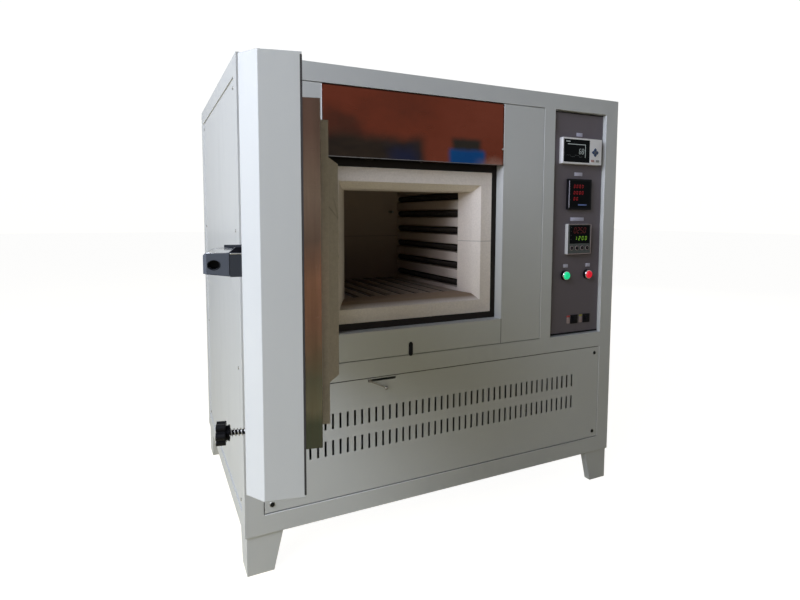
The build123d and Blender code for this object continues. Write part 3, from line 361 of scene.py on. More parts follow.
# Where a tint starts and is full along y, and the tint
CHAMBER_TINT = (-0.35, -0.22, (0.5, 0.4, 0.34))
FLOOR_TINT = (-0.35, -0.33, (0.3, 0.23, 0.18))
# Tint of the mouth's bottom block: partly soot, partly painted shade from the door
SOOT_AND_SHADE_TINT = (-0.365, -0.35, (0.31, 0.22, 0.155))
BLOCK_JOINT, WALL_JOINT = 0.811, 0.812
SEAM_DEPTH = 1.0 * MM
THIN, SMALL, MEDIUM = 0.1 * MM, 0.2 * MM, 0.6 * MM
KINDS = (
    (powder_coat, {
        "enamel": (ENAMEL,),
        "dark_enamel": ((0.118, 0.1, 0.115), 0.5, 0.5 * MM),
    }),
    (brushed_metal, {
        "steel": ((0.4, 0.39, 0.37),),
        "zinc": ((0.5, 0.51, 0.52), 0.42, EVEN),
        "heater": ((0.085, 0.07, 0.062), 0.55, EVEN),
        "chrome": ((0.72, 0.72, 0.73), 0.14, EVEN),
        "spring_steel": ((0.55, 0.54, 0.52), 0.25),
        "brass": ((0.6, 0.58, 0.5), 0.28),
        "aluminium": ((0.6, 0.61, 0.62), 0.35),
    }),
    (tinted_reflecting_steel, {"heat_plate": ()}),
    (refractory, {
        "refractory": (MOUTH_TINT, 0.5, CHAMBER_TINT),
        "fibre": ((0.75, 0.73, 0.68), 0.25),
    }),
    (moulded, {
        "white_plastic": ((0.82, 0.8, 0.8),),
        "grey_plastic": ((0.1, 0.105, 0.105),),
        "black_plastic": ((0.006, 0.006, 0.008), 0.5, 0.1, MEDIUM, 0.12),
        "handle_grey": ((0.078, 0.087, 0.108), 0.55, 0.2, 1.2 * MM, 0.3),
        "window": ((0.002, 0.003, 0.004), 0.4, 0.0, SMALL, 0.06),
        # White strips of painted highlight on edges
        "worn_edge": ((0.9, 0.9, 0.92), 0.35, 0.05, THIN),
        "dull_steel": ((0.2, 0.19, 0.18), 0.5, 0.05, THIN, 0.3),
        "bare_plate": ((0.56, 0.54, 0.64), 0.5, 0.05, THIN, 0.2),
        "blue_plate": ((0.12, 0.18, 0.42), 0.4, 0.05, THIN),
        "chip_grey": ((0.34, 0.26, 0.26), 0.5, 0.1, THIN),
        "faded_red": ((0.42, 0.25, 0.22), 0.5, 0.05, SMALL),
        "slate_key": ((0.28, 0.28, 0.265), 0.5, 0.05, SMALL),
        # Matt black for painted shade
        "matt_black": ((0.008, 0.008, 0.01), 0.9, 0.2, SMALL, 0.0),
        "seal_grey": ((0.05, 0.045, 0.045), 0.6, 0.1, SMALL, 0.2),
        "dull_red": ((0.46, 0.05, 0.05), 0.45, 0.05, SMALL),
        "olive_key": ((0.34, 0.33, 0.05), 0.45, 0.05, SMALL),
        "blue_key": ((0.03, 0.055, 0.13), 0.4),
    }),
    (glowing, {
        "green_lens": ((0.012, 0.78, 0.33), 0.56),
        "red_lens": ((0.85, 0.012, 0.035), 0.5),
        "red_digit": ((0.5, 0.01, 0.018), 0.4),
        "dim_red_digit": ((0.16, 0.005, 0.008), 0.09),
        "green_digit": ((0.3, 0.66, 0.05), 0.5),
        "pale_digit": ((0.42, 0.47, 0.47), 0.35),
        "faint_digit": ((0.09, 0.1, 0.1), 0.04),
    }),
)
paint = {name: kind(name, *values) for kind, rows in KINDS for name, values in rows.items()}

KEYS = range(1, 5)
controller_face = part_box("controller_case")[0].y
front_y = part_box("door_surround_panel")[0].y
own_material = {
    "door_tray": door_tray_steel("tray_steel"),
    "mouth_block_bottom": refractory("sooty_shaded_block", MOUTH_TINT, deep=SOOT_AND_SHADE_TINT),
    "mouth_block_right": refractory("jointed_block", MOUTH_TINT, deep=CHAMBER_TINT, joint=BLOCK_JOINT),
    "chamber_rear_wall": refractory("jointed_wall", MOUTH_TINT, deep=CHAMBER_TINT, joint=WALL_JOINT),
    "chamber_floor": refractory("floor_block", MOUTH_TINT, deep=FLOOR_TINT),
    # The door's plug and rim are darker copies of the mouth's ceramic: painted shade of the door's edge
    "door_plug": refractory("shaded_plug_block", shaded(MOUTH_TINT, 0.76)),
    "door_rim": refractory("shaded_rim_block", shaded(MOUTH_TINT, 0.86)),
    "mouth_frame": brushed_metal("dark_steel", (0.03, 0.026, 0.024), 0.6, EVEN),
    "vent_panel_screws": brushed_metal("black_screw", (0.03, 0.03, 0.03), 0.5, EVEN),
    "air_lever": brushed_metal("worn_steel", (0.3, 0.28, 0.25), 0.3),
    "handle_base": moulded("base_grey", (0.032, 0.035, 0.042), 0.55, 0.2, 0.8 * MM, specular=0.2),
    "star_knob": moulded("knob_black", (0.005, 0.005, 0.006), 0.38, 0.1, 1.4 * MM, specular=0.15),
    "vent_panel": cut_sheet("vent_sheet", ENAMEL, front_y, 0.0),
    "door_surround_panel": cut_sheet("surround_sheet", ENAMEL, front_y, SEAM_DEPTH),
    "controller_case": two_tone_case("controller_case", (0.085, 0.095, 0.092), (0.6, 0.59, 0.58),
                                     controller_face),
}
for name in ["button_bezels"] + [f"controller_key_{key}" for key in KEYS]:
    own_material[name] = paint["black_plastic"]
for subpart in frame["record"]["subparts"]:
    node = frame["nodes"][subpart["node"]]
    chosen = own_material.get(subpart["node"], paint[subpart["material_slot"]])
    node.data.materials.clear()
    node.data.materials.append(chosen)


# Forms


def in_mm(points):
    """Points given in millimetres, turned into metres."""
    return [tuple(value * MM for value in point) for point in points]


def middle(low, high):
    """X and z of the middle of a box."""
    return (low.x + high.x) / 2, (low.z + high.z) / 2


def facing(angle, x, y, z):
    """A frame on an upright face: 0 looks to the front, 90 to the right, 180 to the back, -90 to the left."""
    turn = Matrix.Rotation(math.radians(angle), 4, "Z") @ Matrix.Rotation(math.pi / 2, 4, "X")
    return Matrix.Translation((x, y, z)) @ turn


def turned(degrees):
    """A turn about the local z axis."""
    return Matrix.Rotation(math.radians(degrees), 4, "Z")


def bevelled(form, edges, offset, segments=2):
    bmesh.ops.bevel(form, geom=edges, offset=offset, segments=segments, profile=0.5, affect="EDGES")


def brick(low, high, edge=0.0):
    """A box between two corners, its edges rounded."""
    form = bmesh.new()
    low, high = Vector(low), Vector(high)
    place = Matrix.Translation((low + high) / 2) @ Matrix.Diagonal((*(high - low), 1))
    bmesh.ops.create_cube(form, size=1, matrix=place)
    if edge:
        bevelled(form, form.edges[:], edge)
    return form


def slab(outline, low, high, edge=0.0, segments=2):
    """A plate on an outline of the local x and y, from one height to another, its upper edges rounded."""
    form = bmesh.new()
    bottom = [form.verts.new((x, y, low)) for x, y in outline]
    top = [form.verts.new((x, y, high)) for x, y in outline]
    form.faces.new(bottom[::-1])
    form.faces.new(top)
    count = len(outline)
    for i in range(count):
        j = (i + 1) % count
        form.faces.new((bottom[i], bottom[j], top[j], top[i]))
    if edge:
        rim = [e for e in form.edges if min(v.co.z for v in e.verts) > high - 1e-7]
        bevelled(form, rim, edge, segments)
    return form


def rounded_outline(width, height, radius, steps=5):
    """The outline of a rectangle with round corners, about the origin."""
    points = []
    for corner, (sx, sy) in enumerate(((1, 1), (-1, 1), (-1, -1), (1, -1))):
        for step in range(steps + 1):
            angle = math.pi / 2 * (corner + step / steps)
            x = sx * (width / 2 - radius) + radius * math.cos(angle)
            y = sy * (height / 2 - radius) + radius * math.sin(angle)
            points.append((x, y))
    return points


def turns_of(count):
    return [2 * math.pi * i / count for i in range(count)]


def lathe(profile, segments=40):
    """A turned form: (radius, height) points about the local z axis, closed where the radius is 0."""
    form = bmesh.new()
    rows = []
    for radius, height in profile:
        if radius == 0:
            rows.append([form.verts.new((0, 0, height))])
            continue
        ring = [(radius * math.cos(a), radius * math.sin(a), height) for a in turns_of(segments)]
        rows.append([form.verts.new(point) for point in ring])
    for lower, upper in zip(rows, rows[1:]):
        for i in range(segments):
            j = (i + 1) % segments
            corners = [row[k % len(row)] for row, k in ((lower, i), (lower, j), (upper, j), (upper, i))]
            corners = list(dict.fromkeys(corners))
            if len(corners) > 2:
                form.faces.new(corners)
    return form


def turned_ring(profile, segments=40):
    """A turned form whose profile is a closed loop away from its axis."""
    return lathe(profile + [profile[0]], segments)


def pipe(points, radius, sides):
    """A round wire along points."""
    form = bmesh.new()
    points = [Vector(p) for p in points]
    side = None
    rows = []
    for index, point in enumerate(points):
        before = points[max(index - 1, 0)]
        after = points[min(index + 1, len(points) - 1)]
        way = (after - before).normalized()
        if side is None:
            side = way.orthogonal().normalized()
        side = (side - way * side.dot(way)).normalized()
        up = way.cross(side)
        ring = [point + radius * (side * math.cos(a) + up * math.sin(a)) for a in turns_of(sides)]
        rows.append([form.verts.new(place) for place in ring])
    for lower, upper in zip(rows, rows[1:]):
        for i in range(sides):
            j = (i + 1) % sides
            form.faces.new((lower[i], lower[j], upper[j], upper[i]))
    form.faces.new(rows[0][::-1])
    form.faces.new(rows[-1])
    return form


def joined(form, other):
    """Adds another form to a form."""
    mesh = bpy.data.meshes.new("form")
    other.to_mesh(mesh)
    other.free()
    form.from_mesh(mesh)
    bpy.data.meshes.remove(mesh)
    return form


class Piece:
    """A named piece that is put together from several forms."""

    def __init__(self, name, material, slot, body="cabinet"):
        self.name, self.material, self.slot, self.body = name, paint[material], slot, body
        self.form = bmesh.new()

    def add(self, form, place=Matrix()):
        form.transform(place)
        joined(self.form, form)

    def done(self, replaces=(), soft_angle=35):
        bmesh.ops.recalc_face_normals(self.form, faces=self.form.faces[:])
        mesh = bpy.data.meshes.new(self.name)
        self.form.to_mesh(mesh)
        self.form.free()
        mesh.materials.append(self.material)
        mesh.shade_smooth()
        mesh.set_sharp_from_angle(angle=math.radians(soft_angle))
        obj = bpy.data.objects.new(self.name, mesh)
        bpy.context.scene.collection.objects.link(obj)
        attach(obj, self.body)
        if replaces:
            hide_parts(*replaces)
        return obj


def pan_head(radius, height):
    """Profile of a pan head screw with a socket, for a lathe."""
    shares = ((0, -0.2), (1, -0.2), (1, 0.45), (0.86, 0.82), (0.6, 1), (0.34, 1), (0.34, 0.5), (0, 0.42))
    return [(across * radius, up * height) for across, up in shares]


def hex_bolt(across, height):
    """A hexagon bolt head with a chamfered crown and a washer under it."""
    corner = across / math.sqrt(3)
    hexagon = [(corner * math.cos(a), corner * math.sin(a)) for a in turns_of(6)]
    washer = lathe([(0, -0.1 * height), (0.72 * across, -0.1 * height), (0.72 * across, 0.15 * height),
                    (0, 0.15 * height)])
    return joined(slab(hexagon, 0, height, 0.12 * height), washer)


def single(name, material, slot, form, place=Matrix(), body="cabinet", **finish):
    """A named piece that is one form."""
    piece = Piece(name, material, slot, body)
    piece.add(form, place)
    return piece.done(**finish)


# Control panel

plate_low, plate_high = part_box("control_plate")
cases = {name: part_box(name) for name in ("recorder_case", "power_meter_case", "controller_case")}


def case_place(name, across=0.0, up=0.0):
    """A frame on the front face of an instrument, moved in millimetres from its middle."""
    low, high = cases[name]
    x, z = middle(low, high)
    return facing(0, x + across * MM, low.y, z + up * MM)


def plate_place(x, z):
    return facing(0, x, plate_low.y, z)


LABEL_HEIGHT = 11 * MM


def bare_label(name, place, width):
    """A thin bare plate, as wide as given in millimetres, where a panel carries a legend."""
    outline = rounded_outline(width * MM, LABEL_HEIGHT, 0.8 * MM)
    single(name, "bare_plate", "white_plastic", slab(outline, -0.1 * MM, 0.5 * MM, 0.15 * MM), place)


# Each label has its name, its case, its width and its height above the case
for name, case, width, rise in (("recorder_label", "recorder_case", 25, 13),
                                ("meter_label", "power_meter_case", 33, 16),
                                ("controller_label", "controller_case", 56, 15)):
    low, high = cases[case]
    bare_label(name, plate_place(middle(low, high)[0], high.z + rise * MM), width)

SEGMENTS = {"0": "abcdef", "1": "bc", "2": "abged", "5": "afgcd", "6": "afgedc", "8": "abcdefg"}
# The middle of each segment in widths and heights of a figure, and its turn
SEGMENT_PLACES = {"a": (0.5, 1.0, 0), "b": (1.0, 0.75, 90), "c": (1.0, 0.25, 90), "d": (0.5, 0.0, 0),
                  "e": (0.0, 0.25, 90), "f": (0.0, 0.75, 90), "g": (0.5, 0.5, 0)}
LEAN = Matrix(((1, 0.12, 0, 0), (0, 1, 0, 0), (0, 0, 1, 0), (0, 0, 0, 1)))
# Width and stroke of a figure as shares of its height, and half of a segment as a share of its span
FIGURE_WIDTH, STROKE, SEGMENT_HALF = 0.48, 0.1, 0.42


def digits(name, figures, material, place, height, pitch):
    """Seven-segment numbers in millimetres, centred on a place of a display and leaning a little."""
    row = Piece(name, material, "window")
    width = FIGURE_WIDTH * height
    tip = 0.5 * (STROKE * height) * MM
    start = -pitch * (len(figures) - 1) / 2 - width / 2
    for column, figure in enumerate(figures):
        for segment in SEGMENTS[figure]:
            across, up, turn = SEGMENT_PLACES[segment]
            length = width if turn == 0 else height / 2
            half = SEGMENT_HALF * length * MM
            outline = [(-half, 0), (-half + tip, -tip), (half - tip, -tip), (half, 0), (half - tip, tip),
                       (-half + tip, tip)]
            centre = ((start + column * pitch + across * width) * MM, (up - 0.5) * height * MM, 0)
            row.add(slab(outline, 0.0, 0.2 * MM), place @ LEAN @ Matrix.Translation(centre) @ turned(turn))
    row.done()


def bar(name, material, place, width, height, slot="window"):
    """A thin flat bar on a face, in millimetres."""
    corner = min(width, height) * 0.2 * MM
    form = slab(rounded_outline(width * MM, height * MM, corner, 3), -0.1 * MM, 0.3 * MM, 0.1 * MM)
    single(name, material, slot, form, place)


# Temperature recorder: a framed trend screen at the left and keys on the light strip at the right
bar("recorder_caption", "pale_digit", case_place("recorder_case", -60, 28), 17, 2.6)
bar("recorder_line_top", "pale_digit", case_place("recorder_case", -25, 20), 73, 1.8)
bar("recorder_line_side", "pale_digit", case_place("recorder_case", 11, 0), 1.8, 40)
digits("recorder_number", "68", "pale_digit", case_place("recorder_case", -5, -1), 15, 11)
TRACE_POINTS, TRACE_STEP, TRACE_LEFT, TRACE_DROP = 28, 2.4, 66, 16
trace = [(i * TRACE_STEP - TRACE_LEFT, 3 * math.sin(i * 0.45) + 1.5 * math.sin(i * 1.3) - TRACE_DROP, 0.1)
         for i in range(TRACE_POINTS)]
single("recorder_trace", "faint_digit", "window", pipe(in_mm(trace), 0.35 * MM, 6),
       case_place("recorder_case"))

KEYPAD_ACROSS, KEYPAD_UP, KEY_OFFSET = 52.5, -1.5, 5.4 * MM
keypad = Piece("recorder_keys", "blue_key", "black_plastic")
for turn in range(4):
    form = slab(rounded_outline(9.5 * MM, 9.5 * MM, 2.4 * MM), -0.2 * MM, 1.2 * MM, 0.4 * MM)
    spin = turned(45 + 90 * turn) @ Matrix.Translation((KEY_OFFSET, KEY_OFFSET, 0))
    keypad.add(form, case_place("recorder_case", KEYPAD_ACROSS, KEYPAD_UP) @ spin)
keypad.done()
enter_profile = in_mm([(0, -0.2), (3.6, -0.2), (3.6, 1.6), (3.0, 2.0), (0, 2.1)])
single("recorder_enter_key", "grey_plastic", "grey_plastic", lathe(enter_profile),
       case_place("recorder_case", KEYPAD_ACROSS, KEYPAD_UP))
for name, material, across in (("recorder_red_key", "faded_red", 42), ("recorder_dark_key", "slate_key", 63)):
    form = slab(rounded_outline(13 * MM, 7 * MM, 1.6 * MM), -0.2 * MM, 1.0 * MM, 0.4 * MM)
    single(name, material, "black_plastic", form, case_place("recorder_case", across, -28))

# Power meter: three rows of red figures, a scale strip at the left and a small bare plate
DIGIT_PITCH = 11.2
for row, (figures, up) in enumerate((("0000", 25), ("0000", 5), ("00", -14)), 1):
    shift = -6.5 - (4 - len(figures)) * DIGIT_PITCH / 2
    place = case_place("power_meter_case", shift, up)
    digits(f"meter_row_{row}", figures, "red_digit", place, 9.5, DIGIT_PITCH)
TICKS, TICK_PITCH = 11, 8
strip = Piece("meter_strip", "bare_plate", "black_plastic")
strip.add(brick(*in_mm([(-1.1, -42, -0.1), (1.1, 42, 0.5)]), 0.15 * MM), case_place("power_meter_case", -45))
for tick in range(TICKS):
    tick_place = case_place("power_meter_case", -43.2, (tick - TICKS // 2) * TICK_PITCH)
    strip.add(brick(*in_mm([(-0.8, -0.3, -0.1), (0.8, 0.3, 0.3)])), tick_place)
strip.done()
bar("meter_plate", "blue_plate", case_place("power_meter_case", 11, -33), 36, 4.2, "black_plastic")

# Temperature controller: faint red figures over yellow-green ones, a frame, lamps, and a ring round each key
digits("controller_upper", "0250", "dim_red_digit", case_place("controller_case", 0, 28), 17, 13.5)
digits("controller_lower", "1200", "green_digit", case_place("controller_case", 5, 3), 11.5, 14)
frame_bars = Piece("controller_frame", "chip_grey", "grey_plastic")
for across, up, width, height in ((46.6, 0, 2.4, 95), (0, -46.6, 95, 2.4), (0, 46.6, 95, 1.6)):
    outline = rounded_outline(width * MM, height * MM, 0.5 * MM, 3)
    frame_bars.add(slab(outline, -0.1 * MM, 0.5 * MM, 0.15 * MM), case_place("controller_case", across, up))
frame_bars.done()
lamps = Piece("controller_lamps", "faint_digit", "window")
for lamp in range(4):
    form = lathe(in_mm([(0, 0), (1.1, 0), (0.8, 0.4), (0, 0.5)]), 16)
    lamps.add(form, case_place("controller_case", -36, 38 - 13 * lamp))
lamps.done()
collar_profile = in_mm([(5.8, -0.1), (7.4, -0.1), (7.2, 0.5), (6.0, 0.6)])
arrow = in_mm([(-1.8, -1.3), (1.8, -1.3), (0, 1.9)])
for key in KEYS:
    low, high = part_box(f"controller_key_{key}")
    x, z = middle(low, high)
    single(f"key_collar_{key}", "chip_grey", "grey_plastic", turned_ring(collar_profile),
           facing(0, x, controller_face, z))
    single(f"key_mark_{key}", "faint_digit", "grey_plastic", slab(arrow, -0.05 * MM, 0.12 * MM),
           facing(0, x, low.y, z) @ turned(90 * key), f"key_{key}")
bar("controller_strip", "faint_digit", case_place("controller_case", 12, -41), 40, 2.2, "grey_plastic")

# Black strips of painted shade in the gaps along the foot, the left and the top of the control plate, widest along
# its foot
gap_shade = Piece("control_gap_shade", "black_plastic", "dark_enamel")
left, foot, right, top = plate_low.x, plate_low.z, plate_high.x, plate_high.z
for x0, z0, x1, z1 in ((left, foot, right, foot + 5 * MM), (left, foot, left + 2 * MM, top),
                       (left, top - 3 * MM, right, top)):
    gap_shade.add(brick((x0, plate_low.y - 0.8 * MM, z0), (x1, plate_low.y + 0.4 * MM, z1), 0.2 * MM))
gap_shade.done()

# Push buttons: a bright ring round each lens, a raised ring on the lens and a bare label above
bezel_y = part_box("button_bezels")[0].y
ring_profile = in_mm([(12.2, -0.1), (14.4, -0.1), (14.2, 1.2), (13.4, 2.4), (12.4, 2.6)])
lens_profile = in_mm([(6.0, -0.1), (7.4, -0.1), (7.2, 0.5), (6.2, 0.5)])
for side, lens in (("start", "green_lens"), ("stop", "red_lens")):
    low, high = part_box(f"{side}_button")
    x, z = middle(low, high)
    single(f"{side}_ring", "chrome", "chrome", turned_ring(ring_profile, 64),
           facing(0, x, bezel_y, z), soft_angle=60)
    single(f"{side}_lens_ring", lens, lens, turned_ring(lens_profile, 48), facing(0, x, low.y, z),
           f"{side}_button")
    bare_label(f"{side}_label", plate_place(x + 4 * MM, z + 30 * MM), 19)

# Fuse holders: a turned cap with a bar across it, and a small banded chip beside each
FUSE_WIDTH, CHIP_OFFSET = 28 * MM, 23.5 * MM
fuse_low, fuse_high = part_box("fuse_holders")
fuse_z = middle(fuse_low, fuse_high)[1]
cap_profile = in_mm([(0, -0.1), (6.4, -0.1), (6.0, 2.2), (5.2, 2.8), (0, 2.8)])
fuses = ((fuse_low.x + FUSE_WIDTH / 2, "dull_red"), (fuse_high.x - FUSE_WIDTH / 2, "olive_key"))
for number, (x, band) in enumerate(fuses, 1):
    place = facing(0, x, fuse_low.y, fuse_z)
    cap = Piece(f"fuse_cap_{number}", "black_plastic", "black_plastic")
    cap.add(lathe(cap_profile), place)
    cap.add(brick(*in_mm([(-4.6, -0.7, 2.7), (4.6, 0.7, 3.3)]), 0.2 * MM), place)
    cap.done()
    chip_x = x - CHIP_OFFSET
    bar(f"fuse_chip_{number}", "chip_grey", plate_place(chip_x, fuse_z - 3 * MM), 13, 20, "white_plastic")
    bar(f"fuse_band_{number}", band, plate_place(chip_x, fuse_z + 10 * MM), 13, 5, "white_plastic")


# Cabinet details


def screws(name, places, radius=4 * MM, height=2 * MM, body="cabinet"):
    """A group of pan head screws at several frames."""
    group = Piece(name, "steel", "steel", body)
    for place in places:
        group.add(lathe(pan_head(radius, height), 24), place)
    group.done()


# Screws along both upright edges of the panels, and round the top cover
SCREW_MARGIN, SCREW_ROWS = 22 * MM, 4
for node, angle in (("left_side_panel", -90), ("right_side_panel", 90), ("rear_panel", 180)):
    low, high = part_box(node)
    start, end = (low.x, high.x) if angle == 180 else (low.y, high.y)
    places = []
    for u in (start + SCREW_MARGIN, end - SCREW_MARGIN):
        for row in range(SCREW_ROWS):
            x, y = {-90: (low.x, u), 90: (high.x, u), 180: (u, high.y)}[angle]
            z = low.z + SCREW_MARGIN + (high.z - low.z - 2 * SCREW_MARGIN) * row / (SCREW_ROWS - 1)
            places.append(facing(angle, x, y, z))
    screws(f"{node}_screws", places)
top_low, top_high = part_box("top_cover")
top_places = [Matrix.Translation((x, y, top_high.z))
              for x in (top_low.x + SCREW_MARGIN, 0, top_high.x - SCREW_MARGIN)
              for y in (top_low.y + SCREW_MARGIN, top_high.y - SCREW_MARGIN)]
screws("top_cover_screws", top_places)

# Rating plate, earth stud and the dome of the cable gland on the rear panel
RATING_X, RATING_Z = 0.36, 0.42
EARTH_X, EARTH_Z = 0.52, 0.23
rear_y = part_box("rear_panel")[1].y
rating_form = slab(rounded_outline(120 * MM, 80 * MM, 4 * MM), -0.2 * MM, 0.9 * MM, 0.3 * MM)
single("rating_plate", "aluminium", "aluminium", rating_form,
       facing(180, RATING_X, rear_y, RATING_Z))
rating_places = [facing(180, RATING_X + sx * 53 * MM, rear_y - 0.6 * MM, RATING_Z + sz * 33 * MM)
                 for sx in (-1, 1) for sz in (-1, 1)]
screws("rating_rivets", rating_places, 2.2 * MM, 1.4 * MM)
single("earth_stud", "brass", "brass", hex_bolt(9 * MM, 2.4 * MM),
       facing(180, EARTH_X, rear_y, EARTH_Z))
gland_low, gland_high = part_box("cable_gland")
gland_x, gland_z = middle(gland_low, gland_high)
gland_profile = in_mm([(9.2, -2), (13.6, -2), (13.6, -0.4), (9.2, -0.2)])
single("gland_dome", "brass", "brass", turned_ring(gland_profile, 48),
       facing(180, gland_x, gland_high.y, gland_z))

# Painted highlights: white strips along the right of the front's openings and below the lower one
HIGHLIGHT_WIDTH, SIDE_GAP, FOOT_GAP = 1.3 * MM, 2.2 * MM, 3.2 * MM
opening_strips = Piece("opening_highlights", "worn_edge", "enamel")
vent_low, vent_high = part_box("vent_panel")
openings = (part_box("door_surround_panel"), (vent_low, vent_high), (plate_low, plate_high))
strip_corners = [(high.x + SIDE_GAP, low.z, high.x + SIDE_GAP + HIGHLIGHT_WIDTH, high.z) for low, high in openings]
strip_corners.append((vent_low.x, vent_low.z - FOOT_GAP - HIGHLIGHT_WIDTH, vent_high.x, vent_low.z - FOOT_GAP))
for x0, z0, x1, z1 in strip_corners:
    opening_strips.add(brick((x0, front_y - 0.3 * MM, z0), (x1, front_y + 0.2 * MM, z1), 0.1 * MM))
opening_strips.done()

# Dull lower edge of the heat plate, white strips of painted highlight beside its upright edges and the small screw
# beside the right one
lintel_low, lintel_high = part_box("lintel_plate")
lintel_y = lintel_low.y
dull_edge = brick((lintel_low.x + 1 * MM, lintel_y - 0.5 * MM, lintel_low.z + 0.5 * MM),
                  (lintel_high.x - 1 * MM, lintel_y + 0.1 * MM, lintel_low.z + 2.2 * MM), 0.2 * MM)
single("lintel_foot", "dull_steel", "heat_plate", dull_edge)
side_highlights = Piece("lintel_side_highlights", "worn_edge", "heat_plate")
for x in (lintel_low.x - 2.4 * MM, lintel_high.x + 2.2 * MM):
    side_highlights.add(brick((x - 1.2 * MM, lintel_y - 0.4 * MM, lintel_low.z + 2 * MM),
                          (x + 0.6 * MM, lintel_y + 0.1 * MM, lintel_high.z - 1 * MM), 0.15 * MM))
side_highlights.done()
screws("lintel_screw", [facing(0, lintel_high.x - 3.5 * MM, lintel_y, lintel_low.z + 46 * MM)], 2.6 * MM)

# Bright edge of each countersink of the lower panel's screws
SCREW_RADIUS = 5 * MM
screws_low, screws_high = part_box("vent_panel_screws")
countersinks = Piece("vent_countersinks", "steel", "zinc")
sink_profile = in_mm([(5.1, -0.1), (7.2, -0.1), (6.6, 0.7), (5.3, 0.3)])
for x in (screws_low.x + SCREW_RADIUS, screws_high.x - SCREW_RADIUS):
    for z in (screws_low.z + SCREW_RADIUS, screws_high.z - SCREW_RADIUS):
        countersinks.add(turned_ring(sink_profile), facing(0, x, front_y, z))
countersinks.done()


# Heating wire wound round the rods in the grooves


def helix(x, z, start, end, radius, count, sides):
    """Points along a wire wound about a level axis, from one place in y to another."""
    points = []
    for i in range(count + 1):
        angle = 2 * math.pi * i / sides
        y = start + (end - start) * i / count
        points.append((x + radius * math.cos(angle), y, z + radius * math.sin(angle)))
    return points


def box_of(points):
    """Lowest and highest corner of a set of points."""
    low = Vector([min(p[axis] for p in points) for axis in range(3)])
    high = Vector([max(p[axis] for p in points) for axis in range(3)])
    return low, high


def solids_of(name):
    """Boxes of the separate solids of a node, from its mesh."""
    form = bmesh.new()
    form.from_mesh(frame["nodes"][name].data)
    bmesh.ops.remove_doubles(form, verts=form.verts[:], dist=1e-6)
    left_over = set(form.verts)
    boxes = []
    while left_over:
        seed = left_over.pop()
        group, edge = [seed], [seed]
        while edge:
            vert = edge.pop()
            for link in vert.link_edges:
                other = link.other_vert(vert)
                if other in left_over:
                    left_over.discard(other)
                    group.append(other)
                    edge.append(other)
        boxes.append(box_of([v.co for v in group]))
    form.free()
    return sorted(boxes, key=lambda b: (round(b[0].x, 3), round(b[0].z, 3)))


COIL_RADIUS, COIL_PITCH, COIL_SIDES, COIL_INSET = 8.6 * MM, 7.5 * MM, 12, 4 * MM
WIRE_RADIUS = 1.1 * MM
for node in ("side_heaters", "floor_heaters"):
    winding = Piece(f"{node}_winding", "heater", "heater")
    for low, high in solids_of(node):
        start, end = low.y + COIL_INSET, high.y - COIL_INSET
        steps = int((end - start) / COIL_PITCH * COIL_SIDES)
        wire = helix(*middle(low, high), start, end, COIL_RADIUS, steps, COIL_SIDES)
        winding.add(pipe(wire, WIRE_RADIUS, 5))
    winding.done(soft_angle=80)


# Door


def closed_box(node):
    """Lowest and highest corner of a door node, with the door turned shut."""
    shut = SWING.inverted()
    return box_of([shut @ v.co for v in frame["nodes"][node].data.vertices])


def on_door(angle, x, y, z):
    """A frame on a face of the shut door, turned open with it."""
    return SWING @ facing(angle, x, y, z)


TRAY_SCREWS = 5
tray_low, tray_high = closed_box("door_tray")
columns = [tray_low.x + (tray_high.x - tray_low.x) * (step + 0.5) / TRAY_SCREWS for step in range(TRAY_SCREWS)]
tray_places = [on_door(180, x, tray_low.y, z) for z in (tray_low.z - 12 * MM, tray_high.z + 12 * MM)
               for x in columns]
screws("tray_screws", tray_places, 4 * MM, 1.4 * MM, body="door")

# Painted highlight and shade on the handle: a chrome strip for the highlight on top of the grip, a matt black
# block for the shade on the base behind it and a chrome line for the highlight at the block's end
GRIP_CREST = 2.5 * MM
grip_low, grip_high = closed_box("handle_grip")
base_low, base_high = closed_box("handle_base")
left, front = grip_low.x + 26 * MM, grip_low.y + GRIP_CREST + 1 * MM
right, back = grip_high.x, grip_high.y
highlight_outline = [(left, front), (right - 3 * MM, front), (right - 1 * MM, grip_low.y + 8 * MM),
                (right - 1 * MM, back - 4 * MM), (right - 5 * MM, back - 1 * MM), (left, back - 1 * MM)]
highlight_form = slab(highlight_outline, grip_high.z - 0.3 * MM, grip_high.z + 0.4 * MM, 0.2 * MM, 3)
single("grip_highlight", "chrome", "chrome", highlight_form, SWING, "grip")
shade_top = grip_high.z + 1.2 * MM
shade_form = brick((base_low.x + 20 * MM, base_high.y - 13 * MM, shade_top - 2 * MM),
                 (base_high.x - 1.0 * MM, base_high.y - 0.2 * MM, shade_top), 0.4 * MM)
single("handle_shade", "matt_black", "black_plastic", shade_form, SWING, "door")
glint_form = brick((base_high.x - 0.6 * MM, base_high.y - 13 * MM, grip_high.z - 1.4 * MM),
                  (base_high.x + 0.4 * MM, base_high.y - 0.4 * MM, grip_high.z - 0.2 * MM), 0.2 * MM)
single("handle_glint", "chrome", "chrome", glint_form, SWING, "door")

# Dark seal along the inner edge of the door's free side
shell_low, shell_high = closed_box("door_shell")
seal_outline = rounded_outline(shell_high.z - shell_low.z - 5 * MM, 2.6 * MM, 1.2 * MM)
seal_place = on_door(90, shell_high.x, shell_high.y - 1.8 * MM, middle(shell_low, shell_high)[1])
single("door_edge_seal", "seal_grey", "black_plastic", slab(seal_outline, -0.1 * MM, 0.1 * MM),
       seal_place @ turned(90), "door")

